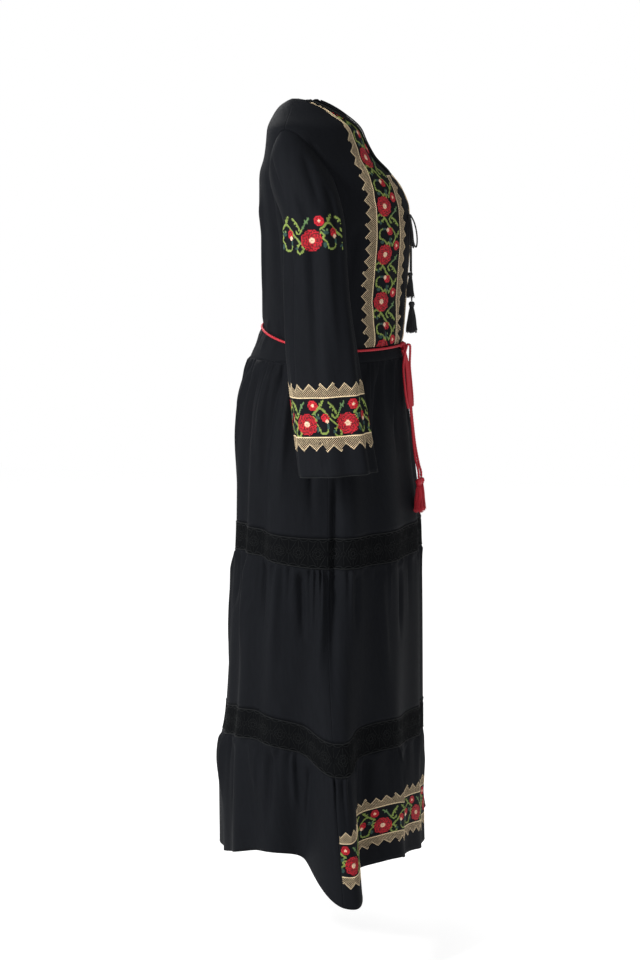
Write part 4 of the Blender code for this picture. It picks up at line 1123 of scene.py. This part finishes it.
def cuffStitches(label, surface):
    # Squares run round the whole sleeve from its seam on the body's side.
    c, s = cuffBand, stitchSettings
    row = int(np.argmin(np.abs(surface["z"] - 0.5 * (c["upperLine"] + c["lowerLine"]))))
    columns = surface["arc"].shape[1]
    whole = surface["arc"][row, -1]
    seam, rose = arcAtAngle(surface, row, 1.5 * math.pi), arcAtAngle(surface, row, c["roseAngle"])
    start = int(round((rose - seam) / s["cell"]))
    number = np.arange(start, start + int(whole / s["cell"]))
    arc = (rose - (np.append(number, number[-1] + 1) - 0.5) * s["cell"]) % whole
    at = np.interp(arc, surface["arc"][row], np.arange(columns))
    total = 2 * s["toothTip"] + s["bandCells"] + 2
    cell = (surface["down"][:, 20][np.argmin(np.abs(surface["z"] - c["lowerLine"]))]
            - surface["down"][:, 20][np.argmin(np.abs(surface["z"] - c["upperLine"]))]) / (s["bandCells"] + 1)
    downs = np.broadcast_to((np.arange(total + 1) - s["toothTip"] - 0.5) * cell, (len(at), total + 1))
    upper = np.full(len(at), float(np.interp(-c["upperLine"], -surface["z"][30:], np.arange(30, len(surface["z"])))))
    points, normals = latticeRound(surface, at, downs, upper)
    chart = stripChart(number[:, None], np.arange(total)[None, :], c["period"], (-3, -2, -1, 0, 1, 2, 3))
    return layStitches("cuffBand" + label, points, normals, chart)


def sprayStitches(label, surface):
    # The same flowers without lines, round the outer half of the upper arm.
    c, s = armSpray, stitchSettings
    row = surface["capRows"]
    columns = surface["arc"].shape[1]
    rose = arcAtAngle(surface, row, c["roseAngle"])
    number = np.arange(-40, 38)
    arc = np.clip(rose - (np.arange(-40, 39) - 0.5) * s["cell"], 0.0, surface["arc"][row, -1])
    at = np.interp(arc, surface["arc"][row], np.arange(columns))
    high = np.arange(-24, 14)
    below = (-0.240 - c["roseZ"]) / 1.0
    slope = c["tilt"] * (np.arange(-40, 39) - 0.5) * s["cell"]
    downs = (np.arange(-24, 15)[None, :] - 0.5) * s["cell"] + below - slope[:, None]
    points, normals = latticeRound(surface, at, downs, np.full(len(at), float(row)))
    chart = np.zeros((len(number), len(high)), int)
    along, across = np.meshgrid(number.astype(float), high.astype(float), indexing="ij")
    paintMotif(chart, along, across, s["period"], (0, -1))
    chart[(along > 31.0) | (along < -38.0)] = 0
    paintRoses(chart, along, across, s["period"], (0,))
    return layStitches("armSpray" + label, points, normals, chart)


for label in sleeves:
    surface = sleeves[label]["surface"]
    stitched["cuff" + label] = cuffStitches(label, surface)
    stitched["spray" + label] = sprayStitches(label, surface)

# Band along the front of the hem
hemBand = {
    # squares from the rose on the middle of the front, and their arc from 20 degrees left of it
    "roseArc": ((-92, -0.0875), (0, 0.0985), (46, 0.1915), (92, 0.2844), (138, 0.3642), (184, 0.4440)),
    "upperLine": -1.281, "lowerLine": -1.336,
}


def hemStitches():
    c, s = hemBand, stitchSettings
    panel = panels["tier3Front"]
    surface, angle, z = panel["surface"], panel["angle"], panel["z"]
    row = int(np.argmin(np.abs(z + 1.31)))
    line = surface["arc"][row] - np.interp(math.radians(-20.0), angle, surface["arc"][row])
    squares = np.array([k for k, _ in c["roseArc"]], float)
    arcs = np.array([a for _, a in c["roseArc"]])
    step = (arcs[-1] - arcs[-2]) / (squares[-1] - squares[-2])
    low = int(np.ceil(squares[0] + (line[0] - arcs[0]) / (2.0 * s["cell"] * 1.02)))
    high = int(squares[-1] + (line[-1] - arcs[-1]) / step)
    number = np.arange(low, high)
    squares = np.concatenate([[low], squares, [high]])
    arcs = np.concatenate([[line[0] + 0.001], arcs, [line[-1] - 0.001]])
    at = np.interp(np.interp(np.arange(low, high + 1) - 0.5, squares, arcs), line, np.arange(len(line)))
    total = 2 * s["toothTip"] + s["bandCells"] + 2
    cell = (c["upperLine"] - c["lowerLine"]) / (s["bandCells"] + 1)
    atZ = c["upperLine"] - (np.arange(total + 1) - s["toothTip"] - 0.5) * cell
    rows = np.interp(-atZ, -z, np.arange(len(z)))
    points, normals = onSurface(surface, rows[None, :], at[:, None])
    chart = stripChart(number[:, None], np.arange(total)[None, :], s["period"], range(low // 46 - 1, high // 46 + 2))
    return layStitches("hemBand", points, normals, chart)


stitched["hem"] = hemStitches()
print("stage: embroidery made")


# Lace strips: raised cotton threads over the thin ground

laceSettings = {"repeat": 0.034, "thread": 0.00042, "cord": 0.0010, "lift": 0.0005, "ring": 0.0072,
                "petals": 8, "petalDepth": 0.0030, "scallops": 2, "scallopDepth": 0.0038}


def onStrip(surface, along, deep, lift):
    # Points on a strip at lengths along its middle row and shares of its depth.
    middle = surface["arc"][len(surface["arc"]) // 2]
    columns = np.interp(along, middle, np.arange(len(middle)))
    return onSurface(surface, deep * (len(surface["arc"]) - 1), columns, np.full(np.shape(along), lift))


def laceThreads(name, surface, s):
    # In each repeat: a ring with looped petals, a small star between two rings, and crossing
    # bars; along both edges a cord and a row of scallops.
    length = surface["arc"][len(surface["arc"]) // 2, -1]
    depth = surface["down"][-1].mean()
    count = max(1, round(length / s["repeat"]))
    repeat = length / count
    middle = (np.arange(count) + 0.5) * repeat
    parts = []

    def add(along, deep, radius, ringed, sides=5):
        along, deep = np.broadcast_arrays(along, deep)
        inside = (along >= 0.0).all(axis=1) & (along <= length).all(axis=1)
        if inside.any():
            points, normals = onStrip(surface, along[inside], 0.5 + deep[inside] / depth, s["lift"])
            parts.append(tubes(points, normals, radius, sides, ringed))

    turn = fullTurn(48)
    petal = s["ring"] + s["petalDepth"] * np.abs(np.sin(0.5 * s["petals"] * turn))
    add(middle[:, None] + petal * np.cos(turn), petal * np.sin(turn), s["thread"] * 1.25, True)
    turn = turn[::3]
    add(middle[:, None] + 0.55 * s["ring"] * np.cos(turn), 0.55 * s["ring"] * np.sin(turn), s["thread"] * 1.2, True)
    t = np.linspace(-1.0, 1.0, 5)
    for k in range(s["petals"]):
        a = 2.0 * math.pi * (k + 0.5) / s["petals"]
        r = s["ring"] * (0.78 + 0.34 * t)
        add(middle[:, None] + r * math.cos(a), r * math.sin(a), s["thread"], False, 4)
    between = np.arange(count + 1) * repeat
    turn = fullTurn(20)
    star = 0.0036 + 0.0012 * np.cos(4.0 * turn)
    add(between[:, None] + star * np.cos(turn), star * np.sin(turn), s["thread"] * 1.1, True)
    t = np.linspace(0.0, 1.0, 6)
    for sign in (-1.0, 1.0):
        for lean in (-1.0, 1.0):
            add(between[:, None] + lean * (0.0035 + 0.0100 * t), sign * (0.0030 + 0.0170 * t), s["thread"], False, 4)
        add(between[:, None], sign * (0.0046 + 0.0160 * t), s["thread"], False, 4)
        add(middle[:, None], sign * (0.0100 + 0.0110 * np.linspace(0.0, 1.0, 5)), s["thread"], False, 4)
        wave = np.linspace(0.0, length, 30 * count + 1)[None, :]
        bow = np.abs(np.sin(math.pi * s["scallops"] * wave / repeat))
        add(wave, sign * (0.5 * depth - 0.0022 - s["scallopDepth"] * bow), s["thread"] * 1.3, False)
        add(wave[:, ::3], sign * (0.5 * depth - 0.0010), s["cord"], False, 6)
    return closedPiece(name, *joined(parts), laceCotton, "black_lace")


laceWork = {}
for name in ("lace1Front", "lace1Back", "lace2Front", "lace2Back"):
    laceWork[name] = laceThreads(name + "Threads", panels[name]["surface"], laceSettings)
print("stage: lace made")

# Edge trims: a braid with small loops round the neck's slit, a fine piped edge on the hem and cuffs

trimSettings = {"width": 0.0095, "rise": 0.0019, "wall": 0.0014, "loop": 0.0021, "loopPitch": 0.0046,
                "loopThread": 0.00050, "braid": 0.00055, "piping": 0.00085}


def neckTrim(label, direction):
    # The strip lies on the front along the neck's edge from the slit's foot to the shoulder.
    s = trimSettings
    z = np.concatenate([np.linspace(-0.0042, -0.060, 34), np.linspace(-0.0605, -0.1335, 46)])
    width = tableCurve(bodyForm, halfWidth, z)
    near = neckEdge(neckFront, z) + 0.00015 / width
    angle = near[:, None] + (s["width"] / width)[:, None] * np.linspace(0.0, 1.0, 6)
    surface = makeSurface(bodyPoint(direction * angle, z[:, None], False))
    piece = clothPiece("neckTrim" + label, surface, netCotton, "black_lace", s["wall"],
                       ("neck_trim_" + label.lower(),), s["rise"])
    length = surface["down"][:, 0]
    rows = np.arange(len(z))

    def along(steps, column, lift):
        return onSurface(surface, np.interp(steps, length, rows), column, np.full(np.shape(steps), lift))

    count = int(length[-1] / s["loopPitch"])
    t = np.linspace(0.0, math.pi, 9)
    middle = (np.arange(count) + 0.5) * s["loopPitch"]
    parts = []
    for column, sign in ((0.15, -1.0), (4.85, 1.0)):
        steps = middle[:, None] - 0.42 * s["loopPitch"] * np.cos(t)
        points, normals = along(steps, np.full(steps.shape, column), s["rise"])
        side = unit(np.cross(np.gradient(points, axis=1), normals))
        outwards = np.sign(np.sum(side * (onSurface(surface, 40.0, 5.0)[0] - onSurface(surface, 40.0, 0.0)[0]), axis=-1))
        points = points + (sign * outwards)[..., None] * side * (s["loop"] * np.sin(t))[None, :, None]
        parts.append(tubes(points, normals, s["loopThread"], 5))
    for phase in (0.0, math.pi):
        steps = np.linspace(0.001, length[-1] - 0.001, 260)[None, :]
        column = 2.5 + 1.7 * np.sin(2.0 * math.pi * steps / 0.0085 + phase)
        points, normals = along(steps, column, s["rise"] + 0.0004)
        parts.append(tubes(points, normals, s["braid"], 6))
    return [piece, closedPiece("neckBraid" + label, *joined(parts), laceCotton, "black_lace")]


def edgePiping(name, surface, row, lift, ringed=False):
    path = surface["points"][row] + lift * surface["normals"][row]
    normals = surface["normals"][row]
    if ringed:
        path, normals = path[:-1], normals[:-1]
    points, faces = tubes(path[None], normals[None], trimSettings["piping"], 8, ringed)
    return closedPiece(name, points, faces, laceCotton, "black_cotton")


for label, direction in (("Right", 1.0), ("Left", -1.0)):
    [stitched["front" + label]] + neckTrim(label, direction)
    cuff = edgePiping("cuffPiping" + label, sleeves[label]["surface"], -1, -0.0006, True)
for name, panel in panels.items():
    extras = [laceWork[name]] if name in laceWork else []
    if name.startswith("tier3"):
        extras.append(edgePiping("hemPiping" + name[5:], panel["surface"], -1, -0.0006))
    if name == "tier3Front":
        extras.append(stitched["hem"])
print("stage: edges made")


# Studio: pale floor and backdrop, soft light
stageSettings = {"floor": -1.56, "half": 6.0, "floorColour": (0.45, 0.45, 0.45), "floorGlow": 0.80,
                 "background": 1.0, "skyLight": 0.34}


def makeFloor(s):
    size, z = s["half"], s["floor"]
    mesh = bpy.data.meshes.new("floor")
    mesh.from_pydata([(-size, -size, z), (size, -size, z), (size, size, z), (-size, size, z)], [], [(0, 1, 2, 3)])
    material = bpy.data.materials.new("paleFloor")
    material.use_nodes = True
    shader = material.node_tree.nodes["Principled BSDF"]
    shader.inputs["Base Color"].default_value = (*s["floorColour"], 1.0)
    shader.inputs["Roughness"].default_value = 0.9
    shader.inputs["Emission Color"].default_value = (1.0, 1.0, 1.0, 1.0)
    shader.inputs["Emission Strength"].default_value = s["floorGlow"]
    mesh.materials.append(material)
    floor = bpy.data.objects.new("floor", mesh)
    scene.collection.objects.link(floor)


def makeLight(name, place, aim, size, power):
    data = bpy.data.lights.new(name, "AREA")
    data.shape = "DISK"
    data.size = size
    data.energy = power
    light = bpy.data.objects.new(name, data)
    scene.collection.objects.link(light)
    light.matrix_world = (Matrix.Translation(place)
                          @ (Vector(aim) - Vector(place)).to_track_quat("-Z", "Y").to_matrix().to_4x4())


makeFloor(stageSettings)


def makeWorld(s):
    # White where it is seen, dimmer as a light.
    world = bpy.data.worlds.new("studio")
    world.use_nodes = True
    nodes, links = world.node_tree.nodes, world.node_tree.links
    path = nodes.new("ShaderNodeLightPath")
    strength = nodes.new("ShaderNodeMapRange")
    strength.inputs["To Min"].default_value = s["skyLight"]
    strength.inputs["To Max"].default_value = s["background"]
    links.new(path.outputs["Is Camera Ray"], strength.inputs["Value"])
    nodes["Background"].inputs["Color"].default_value = (1.0, 1.0, 1.0, 1.0)
    links.new(strength.outputs[0], nodes["Background"].inputs["Strength"])
    scene.world = world


makeWorld(stageSettings)
makeLight("keyLight", (-3.0, 2.2, 1.5), (0.0, 0.0, -0.6), 1.0, 230.0)
makeLight("fillLight", (-2.8, -1.6, 0.9), (0.0, 0.0, -0.6), 1.6, 28.0)
makeLight("backLight", (2.6, 2.0, 1.4), (0.0, 0.0, -0.7), 2.0, 60.0)
scene.view_settings.view_transform = "Standard"
print("stage: studio made")
